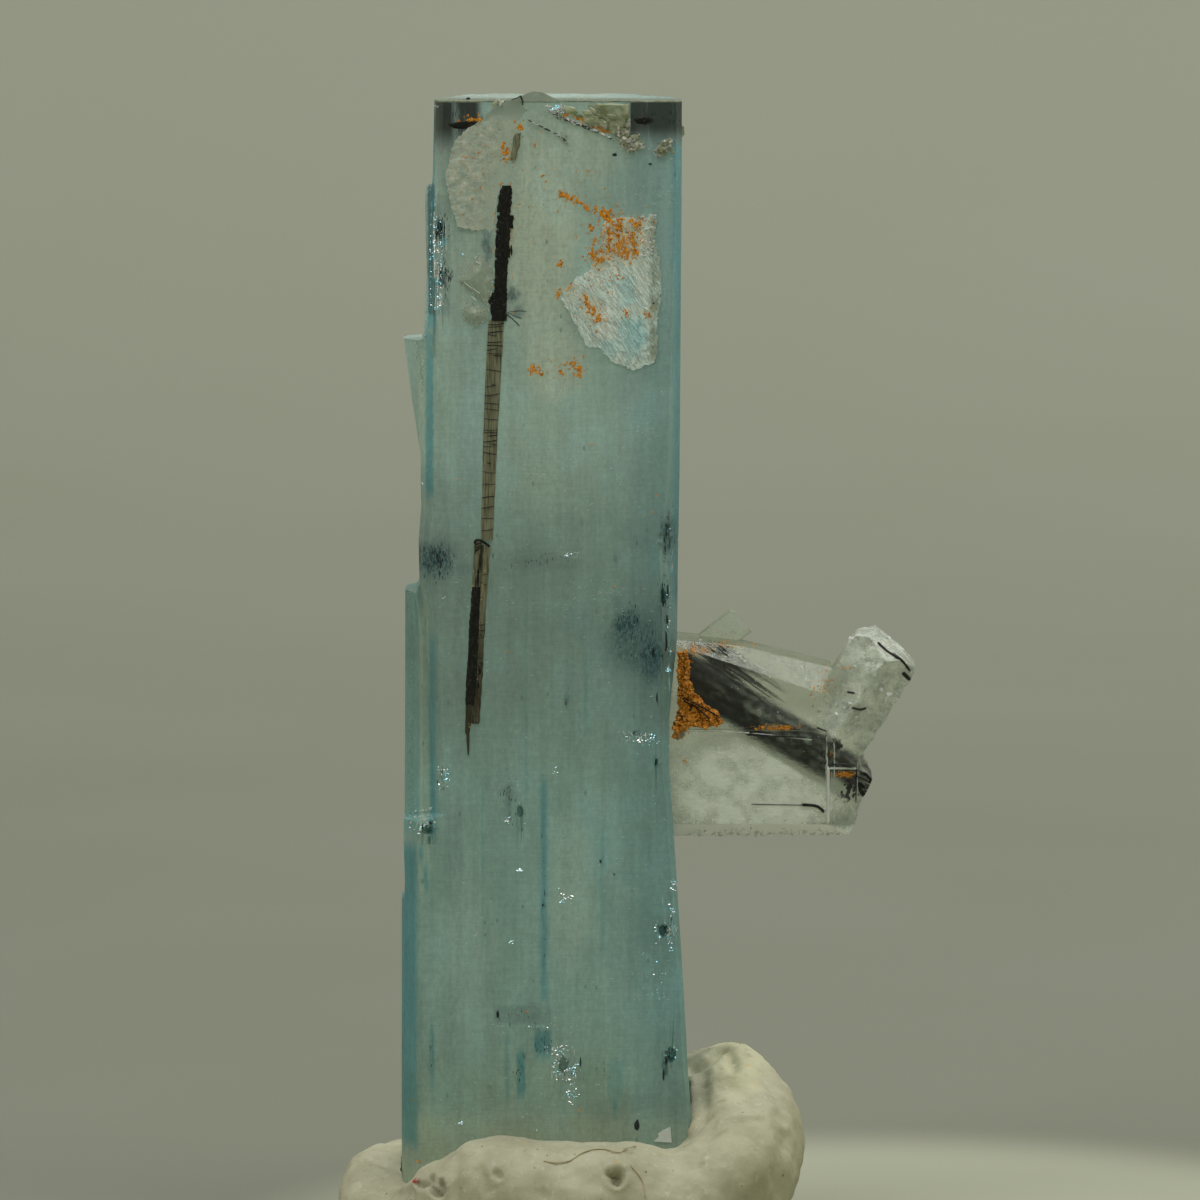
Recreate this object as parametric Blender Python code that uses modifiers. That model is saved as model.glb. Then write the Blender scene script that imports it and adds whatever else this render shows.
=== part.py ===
"""An aquamarine crystal with black schorl and clear crystals, standing in a lump of mounting putty.

Sizes are in millimetres and are turned into metres where a mesh is made. +X runs to the right of the
crystal's wide front face, -Y out of that face and +Z up along the crystal. The origin is on the surface
that the putty rests on, under the crystal's axis.
"""

import math

import bmesh
import bpy
from mathutils import Matrix, Vector

MM = 0.001
GAP = 0.1  # left between pieces that touch
BLOCK = 60.0  # side of the block that a crystal is cut from
CUT_TOLERANCE = 1e-5
TAN_60 = math.tan(math.radians(60))

# The aquamarine prism
CRYSTAL_TOP = 45.9
CRYSTAL_FOOT = 1.6
FRONT_Y = -3.4
BACK_Y = 3.0
SIDE_BACK_Y = -1.0  # where the side faces turn in towards the back face

# Height, left edge, right edge, width of the left and of the right bevel beside the front face
MAIN_SECTIONS = (
    (CRYSTAL_TOP, -4.40, 5.46, 0.40, 0.24),
    (42.4, -4.52, 5.46, 0.40, 0.24),
    (30.8, -4.76, 5.40, 0.42, 0.50),
    (27.8, -4.72, 5.38, 0.42, 0.80),
    (23.8, -4.62, 5.36, 0.42, 0.56),
    (20.4, -4.48, 5.36, 0.42, 0.30),
    (17.5, -4.34, 5.38, 0.40, 0.24),
    (17.2, -5.60, 5.39, 0.60, 0.24),
    (CRYSTAL_FOOT, -5.74, 5.98, 0.62, 0.14),
)

# Parallel prisms grown on the main one, each a stack of sections: height, left, right, front, back
LEDGES = {
    "left_top": ((42.4, -4.76, -3.0, -2.2, 0.6), (34.0, -4.86, -3.0, -2.2, 0.6)),
    "left_wedge": ((36.5, -5.62, -3.0, -1.7, 1.3), (30.6, -4.60, -3.0, -1.5, 1.3)),
    "left_long": ((26.6, -5.52, -2.0, -2.5, 1.7), (CRYSTAL_FOOT, -5.66, -2.0, -2.5, 1.9)),
    "left_foot": ((13.8, -5.78, -2.0, -2.3, 2.1), (CRYSTAL_FOOT, -5.82, -2.0, -2.3, 2.2)),
    "back_tall": ((38.2, -1.7, 1.3, 0.5, 3.32), (CRYSTAL_FOOT, -1.9, 1.5, 0.5, 3.36)),
    "back_left": ((29.4, -3.6, -0.3, -0.5, 2.74), (CRYSTAL_FOOT, -3.9, -0.3, -0.5, 2.9)),
    "back_right": ((33.1, 0.8, 4.2, -0.6, 2.7), (18.8, 0.8, 4.25, -0.6, 2.74)),
    "back_low": ((9.9, 0.0, 4.9, -0.8, 3.2), (CRYSTAL_FOOT, 0.0, 5.1, -0.8, 3.3)),
    "back_stub": ((18.8, -2.6, 0.0, 0.0, 3.5), (CRYSTAL_FOOT, -2.8, 0.0, 0.0, 3.6)),
    "top_step": ((CRYSTAL_TOP + 0.14, -3.6, 2.2, -1.2, 2.4), (44.0, -3.6, 2.2, -1.2, 2.4)),
}
LEDGE_BEVEL = 0.3  # share of a ledge's depth taken by its corner faces

# Etch pits and chips: x, height, half width, half height and depth, all from the front face
PITS = (
    (-4.05, 40.2, 0.26, 1.15, 0.5),
    (-3.92, 37.4, 0.24, 1.3, 0.5),
    (4.92, 28.6, 0.34, 0.9, 0.45),
    (4.78, 26.2, 0.24, 0.7, 0.4),
    (4.86, 12.8, 0.36, 0.42, 0.4),
    (5.1, 7.8, 0.34, 0.5, 0.4),
    (4.7, 19.6, 0.3, 0.26, 0.3),
    (0.7, 7.4, 0.3, 0.55, 0.3),
    (-4.62, 16.9, 0.34, 0.3, 0.5),
    (-1.0, 17.6, 0.2, 0.4, 0.2),
)

# Schorl needles set in the front face: height, x and radius along each, top to bottom
UPPER_NEEDLE = ((42.5, -1.60, 0.33), (36.9, -1.93, 0.33), (33.0, -2.12, 0.29), (28.7, -2.36, 0.27))
LOWER_NEEDLE = ((28.5, -2.50, 0.32), (25.0, -2.74, 0.32), (21.2, -2.92, 0.27), (19.9, -3.04, 0.07))
NEEDLE_Y = FRONT_Y + 0.3
NEEDLE_SIDES = 6
SLOT_FRONT_Y = FRONT_Y - 1.5

# Thin plates on the front face: their outlines in x and height, and their thickness
RIND_OUTLINE = (
    (-2.35, 40.82), (-3.1, 40.9), (-3.52, 41.05), (-3.66, 41.5), (-3.82, 42.2), (-3.9, 42.9),
    (-3.84, 43.5), (-3.58, 44.0), (-3.26, 44.5), (-2.7, 44.95), (-2.3, 45.35), (-1.7, 45.78),
    (-0.9, 45.8), (0.2, 45.7), (0.75, 45.55), (0.1, 44.7), (-0.7, 43.9), (-1.0, 43.2),
    (-1.2, 42.8), (-2.15, 42.75),
)
RIND_THICKNESS = 0.3
RIND_HUMP = ((-0.35, -3.15, 45.75), (1.15, 0.85, 0.72))  # the bulge that stands over the top edge
MICA_OUTLINE = (
    (4.1, 41.5), (4.4, 39.6), (4.3, 37.0), (4.35, 35.4), (3.4, 35.1), (2.2, 35.8),
    (1.3, 36.9), (1.55, 37.9), (1.2, 38.5), (2.1, 39.4), (2.5, 40.4), (3.3, 41.1),
)
MICA_THICKNESS = 0.2
PLATE_BEVEL = 0.08

# Small grains on the front face: centre x and height, radius, and turn about the view axis in degrees
CLEAR_GRAINS = {
    "clear_grain_upper": (-2.62, 38.9, 0.42, 20),
    "clear_grain_lower": (-2.72, 37.5, 0.36, 50),
}
GRAIN_FACES = 6
GRAIN_RISE = 0.35
PALE_GRAINS = (
    (1.0, 45.2, 0.50), (1.7, 45.05, 0.55), (2.4, 44.85, 0.55), (3.0, 44.5, 0.48),
    (3.5, 44.1, 0.42), (3.95, 43.75, 0.36),
)
PALE_GRAIN_RISE = 0.28

# Clear crystals on the right side: each as points on its faces with the outward normals
CLEAR_CENTRE = (8, 0, 20)
LOWER_CLEAR = (
    ((8.0, 0.0, 16.45), (0.01, 0.0, -1.0)),
    ((8.0, -2.6, 17.0), (0.0, -0.64, -0.77)),
    ((8.0, 0.0, 20.78), (0.015, 0.0, 1.0)),
    ((8.0, -2.6, 18.6), (0.0, -1.0, 0.0)),
    ((8.0, 1.8, 18.6), (0.0, 1.0, 0.06)),
    ((8.0, 1.3, 16.45), (0.0, 0.8, -0.6)),
    ((11.18, -2.6, 18.6), (0.3, -0.95, 0.0)),
    ((11.38, -2.54, 18.6), (0.66, -0.75, 0.0)),
    ((12.34, -1.7, 18.6), (0.82, -0.57, 0.0)),
    ((12.5, -1.47, 18.6), (0.93, -0.37, 0.0)),
    ((12.55, 0.0, 17.4), (0.956, 0.0, -0.293)),
    ((12.28, 0.0, 16.7), (0.83, 0.0, -0.55)),
    ((12.86, 0.0, 19.3), (0.93, 0.0, 0.37)),
    ((12.1, 1.7, 18.6), (0.8, 0.6, 0.0)),
    ((3.2, 0.0, 18.6), (-1.0, 0.0, 0.0)),
)
UPPER_CLEAR = (
    ((8.0, 0.0, 20.2), (0.0, 0.0, -1.0)),
    ((6.5, 0.0, 24.2), (0.13, 0.0, 0.99)),
    ((8.08, 0.0, 23.96), (0.246, 0.0, 0.969)),
    ((8.0, -2.35, 22.0), (0.0, -1.0, 0.05)),
    ((8.0, -1.4, 24.0), (0.25, -0.6, 0.75)),
    ((8.0, 1.5, 22.0), (0.0, 1.0, 0.1)),
    ((8.0, 0.9, 24.0), (0.1, 0.7, 0.7)),
    ((11.6, 0.0, 22.0), (1.0, 0.0, 0.1)),
    ((3.2, 0.0, 22.0), (-1.0, 0.0, 0.0)),
)
TILTED_END = Vector((13.79, -1.55, 24.15))
TILTED_AXIS = Vector((0.53, -0.1, 0.84)).normalized()
TILTED_LENGTH = 5.1
TILTED_RADIUS = 1.4
SMALL_END = Vector((7.9, 0.85, 24.82))
SMALL_AXIS = Vector((0.8, 0.08, 0.6)).normalized()
SMALL_LENGTH = 2.4
SMALL_HALF_WIDTH = 0.58
SMALL_HALF_DEPTH = 0.42

# The thick schorl prism that runs down through the clear crystals: distance along it and radius
SCHORL_FOOT = Vector((5.8, -0.4, 22.75))
SCHORL_AXIS = Vector((7.2, -0.4, -4.25)).normalized()
SCHORL_STATIONS = ((-2.9, 0.92), (2.0, 0.88), (10.5, 0.70))
SCHORL_LENGTH = 8.35  # along the axis to the middle of its end face
SCHORL_SIDES = 9
SCHORL_FLAT_SIDE = 0.9  # radius of the points between a trigonal prism's ribs, as a share
SCHORL_END_FACES = (
    ("schorl_end_face", (0.93, 0.05, -0.37), (0.0, 0.0, 0.0)),
    ("schorl_end_bevel", (0.72, -0.1, 0.69), (0.05, 0.0, 0.3)),
)

# Iron oxide crust in the corner between the aquamarine and the clear crystals: x, y, height and radius
CRUST_LUMPS = (
    (5.62, -2.55, 23.75, 0.30), (5.70, -2.60, 23.2, 0.34), (5.66, -2.65, 22.6, 0.34),
    (5.78, -2.68, 22.0, 0.40), (6.15, -2.66, 21.6, 0.42), (5.84, -2.74, 21.1, 0.46),
    (6.62, -2.62, 21.2, 0.34), (5.60, -2.84, 20.6, 0.30),
)

# The putty was rolled and wound around the foot: x, y, height and radius along the roll
PUTTY_ROLL = (
    (-3.9, -5.5, 2.2, 2.0), (-1.6, -6.0, 2.5, 2.4), (2.0, -5.9, 2.4, 2.5), (5.2, -5.6, 2.5, 2.5),
    (7.5, -4.2, 2.9, 2.7), (8.0, -1.6, 4.0, 2.7), (7.3, 1.2, 5.0, 2.7), (6.4, 3.8, 4.2, 2.6),
    (3.4, 5.2, 2.9, 2.6), (-0.4, 5.5, 2.9, 2.5), (-3.8, 4.7, 2.2, 2.4), (-6.2, 2.2, 2.0, 2.3),
    (-6.6, -0.8, 1.6, 2.1), (-6.0, -3.4, 1.0, 2.0),
)
ROLL_STEP = 0.7
PUTTY_BED = ((1.0, -0.3, 0.5), (8.9, 7.3, 2.4))  # centre and radii of the flat lump under the foot
PUTTY_VOXEL = 0.62
PUTTY_SMOOTHING = 10
FLOOR_BLOCK = 40.0

# Colour, roughness, metallic value and transmission of each material
FINISHES = {
    "aquamarine": ((0.42, 0.62, 0.62, 1), 0.08, 0.0, 0.9),
    "schorl": ((0.012, 0.012, 0.011, 1), 0.3, 0.0, 0.0),
    "clear": ((0.88, 0.9, 0.86, 1), 0.08, 0.0, 0.95),
    "rind": ((0.62, 0.66, 0.54, 1), 0.5, 0.0, 0.0),
    "mica": ((0.7, 0.78, 0.7, 1), 0.3, 0.1, 0.0),
    "iron_oxide": ((0.34, 0.13, 0.02, 1), 0.85, 0.0, 0.0),
    "putty": ((0.66, 0.63, 0.5, 1), 0.7, 0.0, 0.0),
}


def clear_scene():
    for obj in list(bpy.data.objects):
        bpy.data.objects.remove(obj)


def new_collection(name):
    collection = bpy.data.collections.new(name)
    bpy.context.scene.collection.children.link(collection)
    return collection


def make_material(node, finish):
    colour, roughness, metallic, transmission = FINISHES[finish]
    material = bpy.data.materials.new(node)
    material.use_nodes = True
    shader = material.node_tree.nodes["Principled BSDF"]
    shader.inputs["Base Color"].default_value = colour
    shader.inputs["Roughness"].default_value = roughness
    shader.inputs["Metallic"].default_value = metallic
    shader.inputs["Transmission Weight"].default_value = transmission
    material.diffuse_color = colour
    return material


def object_from(name, bm, collection, finish=None, rounded=False):
    """An object in metres from a bmesh in millimetres, its faces pointing out. A helper has no finish."""
    bmesh.ops.recalc_face_normals(bm, faces=bm.faces)
    bmesh.ops.scale(bm, vec=(MM, MM, MM), verts=bm.verts)
    mesh = bpy.data.meshes.new(name)
    bm.to_mesh(mesh)
    bm.free()
    if rounded:
        mesh.shade_smooth()
    obj = bpy.data.objects.new(name, mesh)
    collection.objects.link(obj)
    if finish:
        mesh.materials.append(make_material(name, finish))
    else:
        obj.hide_render = True
        obj.display_type = "WIRE"
    return obj


def add_boolean(obj, other, operation):
    modifier = obj.modifiers.new(other.name, "BOOLEAN")
    modifier.operation = operation
    modifier.object = other


def loft(bm, rings):
    """Joins rings of points, each as long as the last, and caps both ends."""
    rows = [[bm.verts.new(point) for point in ring] for ring in rings]
    for above, below in zip(rows, rows[1:]):
        for i in range(len(above)):
            j = (i + 1) % len(above)
            bm.faces.new((above[i], above[j], below[j], below[i]))
    bm.faces.new(rows[0])
    bm.faces.new(reversed(rows[-1]))


def main_ring(section, grow):
    """One level of the main prism: a wide front face, bevelled, and sides that turn in to a back face."""
    z, left, right, left_bevel, right_bevel = section
    front = FRONT_Y - grow
    back = BACK_Y + grow
    left -= grow
    right += grow
    turn_in = (back - SIDE_BACK_Y) / TAN_60
    outline = (
        (left + left_bevel, front),
        (right - right_bevel, front),
        (right, front + right_bevel * TAN_60),
        (right, SIDE_BACK_Y),
        (right - turn_in, back),
        (left + turn_in, back),
        (left, SIDE_BACK_Y),
        (left, front + left_bevel * TAN_60),
    )
    return [(x, y, z) for x, y in outline]


def main_prism(name, collection, finish=None, grow=0.0):
    bm = bmesh.new()
    rings = [main_ring(section, grow) for section in MAIN_SECTIONS]
    rings[-1] = [(x, y, z - grow) for x, y, z in rings[-1]]
    loft(bm, rings)
    return object_from(name, bm, collection, finish)


def ledge(name, sections, collection, grow=0.0):
    """A parallel prism: a hexagon stretched along y, with the same bevels at every level."""
    bm = bmesh.new()
    rings = []
    for z, left, right, front, back in sections:
        left, right, front, back = left - grow, right + grow, front - grow, back + grow
        corner = LEDGE_BEVEL * (back - front)
        inset = corner / TAN_60
        outline = (
            (left + inset, front), (right - inset, front), (right, front + corner),
            (right, back - corner), (right - inset, back), (left + inset, back),
            (left, back - corner), (left, front + corner),
        )
        rings.append([(x, y, z) for x, y in outline])
    rings[0] = [(x, y, z + grow) for x, y, z in rings[0]]
    rings[-1] = [(x, y, z - grow) for x, y, z in rings[-1]]
    loft(bm, rings)
    return object_from(name, bm, collection)


def pit_cutter(name, pit, collection):
    """A coarse six-sided dimple, like the etch pits of beryl."""
    x, z, half_width, half_height, depth = pit
    bm = bmesh.new()
    bmesh.ops.create_cone(bm, cap_ends=True, segments=6, radius1=1, radius2=0.45, depth=2)
    bmesh.ops.rotate(bm, verts=bm.verts, matrix=Matrix.Rotation(math.radians(-90), 3, "X"))
    bmesh.ops.scale(bm, vec=(half_width, depth, half_height), verts=bm.verts)
    bmesh.ops.translate(bm, vec=(x, FRONT_Y, z), verts=bm.verts)
    return object_from(name, bm, collection)


def slot_cutter(name, stations, collection):
    """The open trough that a needle lies in."""
    bm = bmesh.new()
    back = NEEDLE_Y + stations[0][2] + GAP
    rings = []
    for z, x, radius in stations:
        left, right = x - radius - GAP, x + radius + GAP
        rings.append([(left, SLOT_FRONT_Y, z), (right, SLOT_FRONT_Y, z), (right, back, z), (left, back, z)])
    rings[0] = [(x, y, z + GAP) for x, y, z in rings[0]]
    rings[-1] = [(x, y, z - GAP) for x, y, z in rings[-1]]
    loft(bm, rings)
    return object_from(name, bm, collection)


def needle(name, stations, collection):
    bm = bmesh.new()
    rings = []
    for z, x, radius in stations:
        ring = []
        for i in range(NEEDLE_SIDES):
            angle = 2 * math.pi * i / NEEDLE_SIDES
            ring.append((x + radius * math.cos(angle), NEEDLE_Y + radius * math.sin(angle), z))
        rings.append(ring)
    loft(bm, rings)
    return object_from(name, bm, collection, "schorl")


def plate(name, outline, thickness, collection, finish):
    """A flat outline in x and height, laid on the front face, its outer rim bevelled."""
    back = FRONT_Y - GAP
    front = back - thickness
    middle_x = sum(x for x, z in outline) / len(outline)
    middle_z = sum(z for x, z in outline) / len(outline)
    rim = []
    for x, z in outline:
        inward = Vector((middle_x - x, 0, middle_z - z)).normalized() * PLATE_BEVEL
        rim.append((x + inward.x, front, z + inward.z))
    bm = bmesh.new()
    loft(bm, [
        rim,
        [(x, front + PLATE_BEVEL, z) for x, z in outline],
        [(x, back, z) for x, z in outline],
    ])
    return object_from(name, bm, collection, finish)


def crystal_from_faces(name, centre, faces, collection, finish=None, grow=0.0):
    """A convex crystal: a block cut back by each of its faces, given as a point and an outward normal."""
    bm = bmesh.new()
    bmesh.ops.create_cube(bm, size=BLOCK)
    bmesh.ops.translate(bm, vec=centre, verts=bm.verts)
    for point, outward in faces:
        outward = Vector(outward).normalized()
        plane_point = Vector(point) + outward * grow
        geometry = bm.verts[:] + bm.edges[:] + bm.faces[:]
        bmesh.ops.bisect_plane(
            bm, geom=geometry, dist=CUT_TOLERANCE, plane_co=plane_point, plane_no=outward, clear_outer=True
        )
        open_edges = [edge for edge in bm.edges if edge.is_boundary]
        bmesh.ops.holes_fill(bm, edges=open_edges, sides=0)
    return object_from(name, bm, collection, finish)


def tilted_clear(collection):
    """The stubby prism that leans out at the upper right, with a slanting end face and cut corners."""
    foot = TILTED_END - TILTED_AXIS * TILTED_LENGTH
    across = TILTED_AXIS.cross(Vector((0, 1, 0))).normalized()
    faces = []
    for i in range(6):
        outward = Matrix.Rotation(math.radians(60 * i), 3, TILTED_AXIS) @ across
        faces.append((foot + outward * TILTED_RADIUS, outward))
    faces += [
        (foot, -TILTED_AXIS),
        (TILTED_END, (0.66, -0.05, 0.75)),
        (TILTED_END + across * 0.9, TILTED_AXIS + across * 0.75),
        (TILTED_END - across * 1.15, TILTED_AXIS * 0.6 - across),
        (TILTED_END + Vector((0.1, -1.0, -0.1)), TILTED_AXIS + Vector((0, -0.9, 0))),
    ]
    return crystal_from_faces("tilted_clear", foot, faces, collection)


def small_clear(collection):
    foot = SMALL_END - SMALL_AXIS * SMALL_LENGTH
    across = SMALL_AXIS.cross(Vector((0, 1, 0))).normalized()
    behind = SMALL_AXIS.cross(across).normalized()
    faces = [
        (foot, -SMALL_AXIS),
        (SMALL_END, SMALL_AXIS),
        (SMALL_END + across * 0.4, SMALL_AXIS + across),
    ]
    for direction, half in ((across, SMALL_HALF_WIDTH), (behind, SMALL_HALF_DEPTH)):
        faces.append((SMALL_END + direction * half, direction))
        faces.append((SMALL_END - direction * half, -direction))
    return crystal_from_faces("small_clear", foot, faces, collection)


def schorl_rings(grow=0.0):
    """A trigonal prism with rounded sides."""
    across = SCHORL_AXIS.orthogonal().normalized()
    rings = []
    for distance, radius in SCHORL_STATIONS:
        centre = SCHORL_FOOT + SCHORL_AXIS * distance
        ring = []
        for i in range(SCHORL_SIDES):
            rib = 1.0 if i % 3 == 0 else SCHORL_FLAT_SIDE
            turned = Matrix.Rotation(2 * math.pi * i / SCHORL_SIDES, 3, SCHORL_AXIS) @ across
            ring.append(centre + turned * (radius * rib + grow))
        rings.append(ring)
    return rings


def schorl_cutter(collection):
    bm = bmesh.new()
    loft(bm, schorl_rings(grow=GAP))
    return object_from("schorl_tunnel", bm, collection)


def clear_grain(name, collection):
    """A small clear crystal grown on the front face."""
    x, z, radius, turn = CLEAR_GRAINS[name]
    bm = bmesh.new()
    bmesh.ops.create_cone(
        bm, cap_ends=True, segments=GRAIN_FACES, radius1=radius, radius2=radius * 0.7, depth=GRAIN_RISE
    )
    bmesh.ops.rotate(bm, verts=bm.verts, matrix=Matrix.Rotation(math.radians(turn), 3, "Z"))
    bmesh.ops.scale(bm, vec=(1, 1.5, 1), verts=bm.verts)
    bmesh.ops.rotate(bm, verts=bm.verts, matrix=Matrix.Rotation(math.radians(90), 3, "X"))
    bmesh.ops.translate(bm, vec=(x, FRONT_Y - GAP - GRAIN_RISE / 2, z), verts=bm.verts)
    return object_from(name, bm, collection, "clear")


def add_sphere(bm, centre, radii, subdivisions):
    made = bmesh.ops.create_icosphere(bm, subdivisions=subdivisions, radius=1)
    bmesh.ops.scale(bm, vec=radii, verts=made["verts"])
    bmesh.ops.translate(bm, vec=centre, verts=made["verts"])


def lump(name, centre, radii, collection, subdivisions=2, finish=None):
    bm = bmesh.new()
    add_sphere(bm, centre, radii, subdivisions)
    return object_from(name, bm, collection, finish, rounded=True)


def box(name, low, high, collection):
    bm = bmesh.new()
    bmesh.ops.create_cube(bm, size=1)
    low, high = Vector(low), Vector(high)
    bmesh.ops.scale(bm, vec=high - low, verts=bm.verts)
    bmesh.ops.translate(bm, vec=(low + high) / 2, verts=bm.verts)
    return object_from(name, bm, collection)


def grown_aquamarine(collection):
    """Cutters of the crystal's own form and the touching gap larger, for the pieces that lie against it."""
    cutters = [main_prism("cut_main", collection, grow=GAP)]
    for key, sections in LEDGES.items():
        cutters.append(ledge(f"cut_{key}", sections, collection, grow=GAP))
    return cutters


def build_aquamarine(parts, helpers):
    crystal = main_prism("aquamarine_crystal", parts, "aquamarine")
    for key, sections in LEDGES.items():
        add_boolean(crystal, ledge(key, sections, helpers), "UNION")
    for number, pit in enumerate(PITS):
        add_boolean(crystal, pit_cutter(f"pit_{number}", pit, helpers), "DIFFERENCE")
    for key, stations in (("slot_upper", UPPER_NEEDLE), ("slot_lower", LOWER_NEEDLE)):
        add_boolean(crystal, slot_cutter(key, stations, helpers), "DIFFERENCE")
    return crystal


def build_clear_cluster(parts, helpers, crystal_cutters):
    cluster = crystal_from_faces("clear_crystal_cluster", CLEAR_CENTRE, LOWER_CLEAR, parts, "clear")
    upper = crystal_from_faces("upper_clear", CLEAR_CENTRE, UPPER_CLEAR, helpers)
    for piece in (upper, tilted_clear(helpers), small_clear(helpers)):
        add_boolean(cluster, piece, "UNION")
    add_boolean(cluster, schorl_cutter(helpers), "DIFFERENCE")
    for cutter in crystal_cutters:
        add_boolean(cluster, cutter, "DIFFERENCE")
    return cluster


def build_schorl_prism(parts, helpers, crystal_cutters):
    """The prism ends at a slant, with one cut corner, where it sticks out of the clear crystals."""
    bm = bmesh.new()
    loft(bm, schorl_rings())
    prism = object_from("schorl_prism", bm, parts, "schorl")
    end = SCHORL_FOOT + SCHORL_AXIS * SCHORL_LENGTH
    for name, outward, offset in SCHORL_END_FACES:
        face = (end + Vector(offset), -Vector(outward))
        add_boolean(prism, crystal_from_faces(name, end, [face], helpers), "DIFFERENCE")
    for cutter in crystal_cutters:
        add_boolean(prism, cutter, "DIFFERENCE")
    return prism


def joined_lumps(name, lumps, parts, helpers, finish):
    first, *others = lumps
    obj = lump(name, *first, parts, finish=finish)
    for number, (centre, radii) in enumerate(others):
        add_boolean(obj, lump(f"{name}_lump_{number}", centre, radii, helpers), "UNION")
    return obj


def build_crust(parts, helpers, crystal_cutters):
    """A string of lumps in the corner, cut back to lie against the crystals beside and behind it."""
    lumps = [((x, y, z), (radius, radius * 0.9, radius * 1.15)) for x, y, z, radius in CRUST_LUMPS]
    crust = joined_lumps("iron_crust", lumps, parts, helpers, "iron_oxide")
    for name, faces in (("beside_lower", LOWER_CLEAR), ("beside_upper", UPPER_CLEAR)):
        grown = crystal_from_faces(name, CLEAR_CENTRE, faces, helpers, grow=GAP)
        add_boolean(crust, grown, "DIFFERENCE")
    add_boolean(crust, crystal_cutters[0], "DIFFERENCE")
    return crust


def build_rind(parts, helpers, crystal_cutters):
    """The pale plate that wraps over the top edge, with the needle's slot left free."""
    rind = plate("pale_rind", RIND_OUTLINE, RIND_THICKNESS, parts, "rind")
    centre, radii = RIND_HUMP
    add_boolean(rind, lump("rind_hump", centre, radii, helpers, 3), "UNION")
    for cutter in crystal_cutters:
        add_boolean(rind, cutter, "DIFFERENCE")
    return rind


def build_pale_grains(parts, helpers):
    """A row of low grains along the healed crack under the crystal's top edge."""
    y = FRONT_Y - GAP
    lumps = [((x, y, z), (radius, PALE_GRAIN_RISE, radius * 0.8)) for x, z, radius in PALE_GRAINS]
    grains = joined_lumps("pale_grains", lumps, parts, helpers, "rind")
    behind = box("behind_grains", (-10, y, 30), (10, 20, 60), helpers)
    add_boolean(grains, behind, "DIFFERENCE")
    return grains


def add_roll(bm, stations):
    """Spheres strung closely along the roll."""
    for start, end in zip(stations, stations[1:]):
        start, end = Vector(start), Vector(end)
        steps = math.ceil((end - start).length / ROLL_STEP)
        for i in range(steps):
            x, y, z, radius = start.lerp(end, i / steps)
            add_sphere(bm, (x, y, z), (radius, radius, radius), 2)


def build_putty(parts, helpers, crystal_cutters):
    """A roll pressed into a lump, smoothed, cut flat underneath and hollowed by the crystal's foot."""
    bm = bmesh.new()
    add_sphere(bm, *PUTTY_BED, 3)
    add_roll(bm, PUTTY_ROLL)
    putty = object_from("mounting_putty", bm, parts, "putty", rounded=True)
    remesh = putty.modifiers.new("press_together", "REMESH")
    remesh.mode = "VOXEL"
    remesh.voxel_size = PUTTY_VOXEL * MM
    remesh.use_smooth_shade = True
    smooth = putty.modifiers.new("smooth_over", "SMOOTH")
    smooth.factor = 0.5
    smooth.iterations = PUTTY_SMOOTHING
    half = FLOOR_BLOCK / 2
    floor = box("floor_block", (-half, -half, -half), (half, half, 0), helpers)
    add_boolean(putty, floor, "DIFFERENCE")
    for cutter in crystal_cutters:
        add_boolean(putty, cutter, "DIFFERENCE")
    return putty


def main():
    clear_scene()
    parts = new_collection("aquamarine_specimen")
    helpers = new_collection("cutters_and_guides")
    crystal_cutters = grown_aquamarine(helpers)

    build_aquamarine(parts, helpers)
    needle("schorl_needle_upper", UPPER_NEEDLE, parts)
    needle("schorl_needle_lower", LOWER_NEEDLE, parts)
    build_clear_cluster(parts, helpers, crystal_cutters)
    build_schorl_prism(parts, helpers, crystal_cutters)

    build_crust(parts, helpers, crystal_cutters)
    build_rind(parts, helpers, crystal_cutters)
    plate("mica_flake", MICA_OUTLINE, MICA_THICKNESS, parts, "mica")
    for name in CLEAR_GRAINS:
        clear_grain(name, parts)
    build_pale_grains(parts, helpers)
    build_putty(parts, helpers, crystal_cutters)


main()
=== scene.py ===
"""Looks of the aquamarine specimen: the clear blue-green prism, its schorl needles and clear side crystals.

Places are in millimetres in the frame's own axes: x to the right, y away from the viewer, z up. Meshes are
turned to metres when a piece is made.
"""

import functools
import math
import random

import bmesh
import bpy
from mathutils import Matrix, Vector, noise
from mathutils.bvhtree import BVHTree
from mathutils.kdtree import KDTree


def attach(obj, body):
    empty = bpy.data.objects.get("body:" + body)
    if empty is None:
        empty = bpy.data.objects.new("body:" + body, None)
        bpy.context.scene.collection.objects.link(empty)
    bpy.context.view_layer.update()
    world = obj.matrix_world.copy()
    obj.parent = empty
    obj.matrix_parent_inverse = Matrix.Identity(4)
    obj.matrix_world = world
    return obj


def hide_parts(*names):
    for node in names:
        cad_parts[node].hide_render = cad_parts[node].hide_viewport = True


MM = 0.001

# The photograph's view: what it looks at, from how far and how high, and how much it takes in
VIEW_TARGET = Vector((2.18, -3.4, 26.1))
VIEW_DISTANCE = 300.0
VIEW_ELEVATION = 6.5
VIEW_WIDTH = 47.62
VIEW_BACK = Vector((0, -math.cos(math.radians(VIEW_ELEVATION)), math.sin(math.radians(VIEW_ELEVATION))))

# The studio: a bowl that is floor in the middle and wall all round, open above
FLAT_RADIUS = 120.0
BOWL_RADIUS = 520.0
BOWL_RISE = 300.0  # how high the curve ends and the straight wall starts
BOWL_HEIGHT = 620.0
PAINTED_LIGHT_POOL = ((13.0, -5.0), 24.0)  # centre and radius of a painted pool of light on the floor, round the specimen
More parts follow.
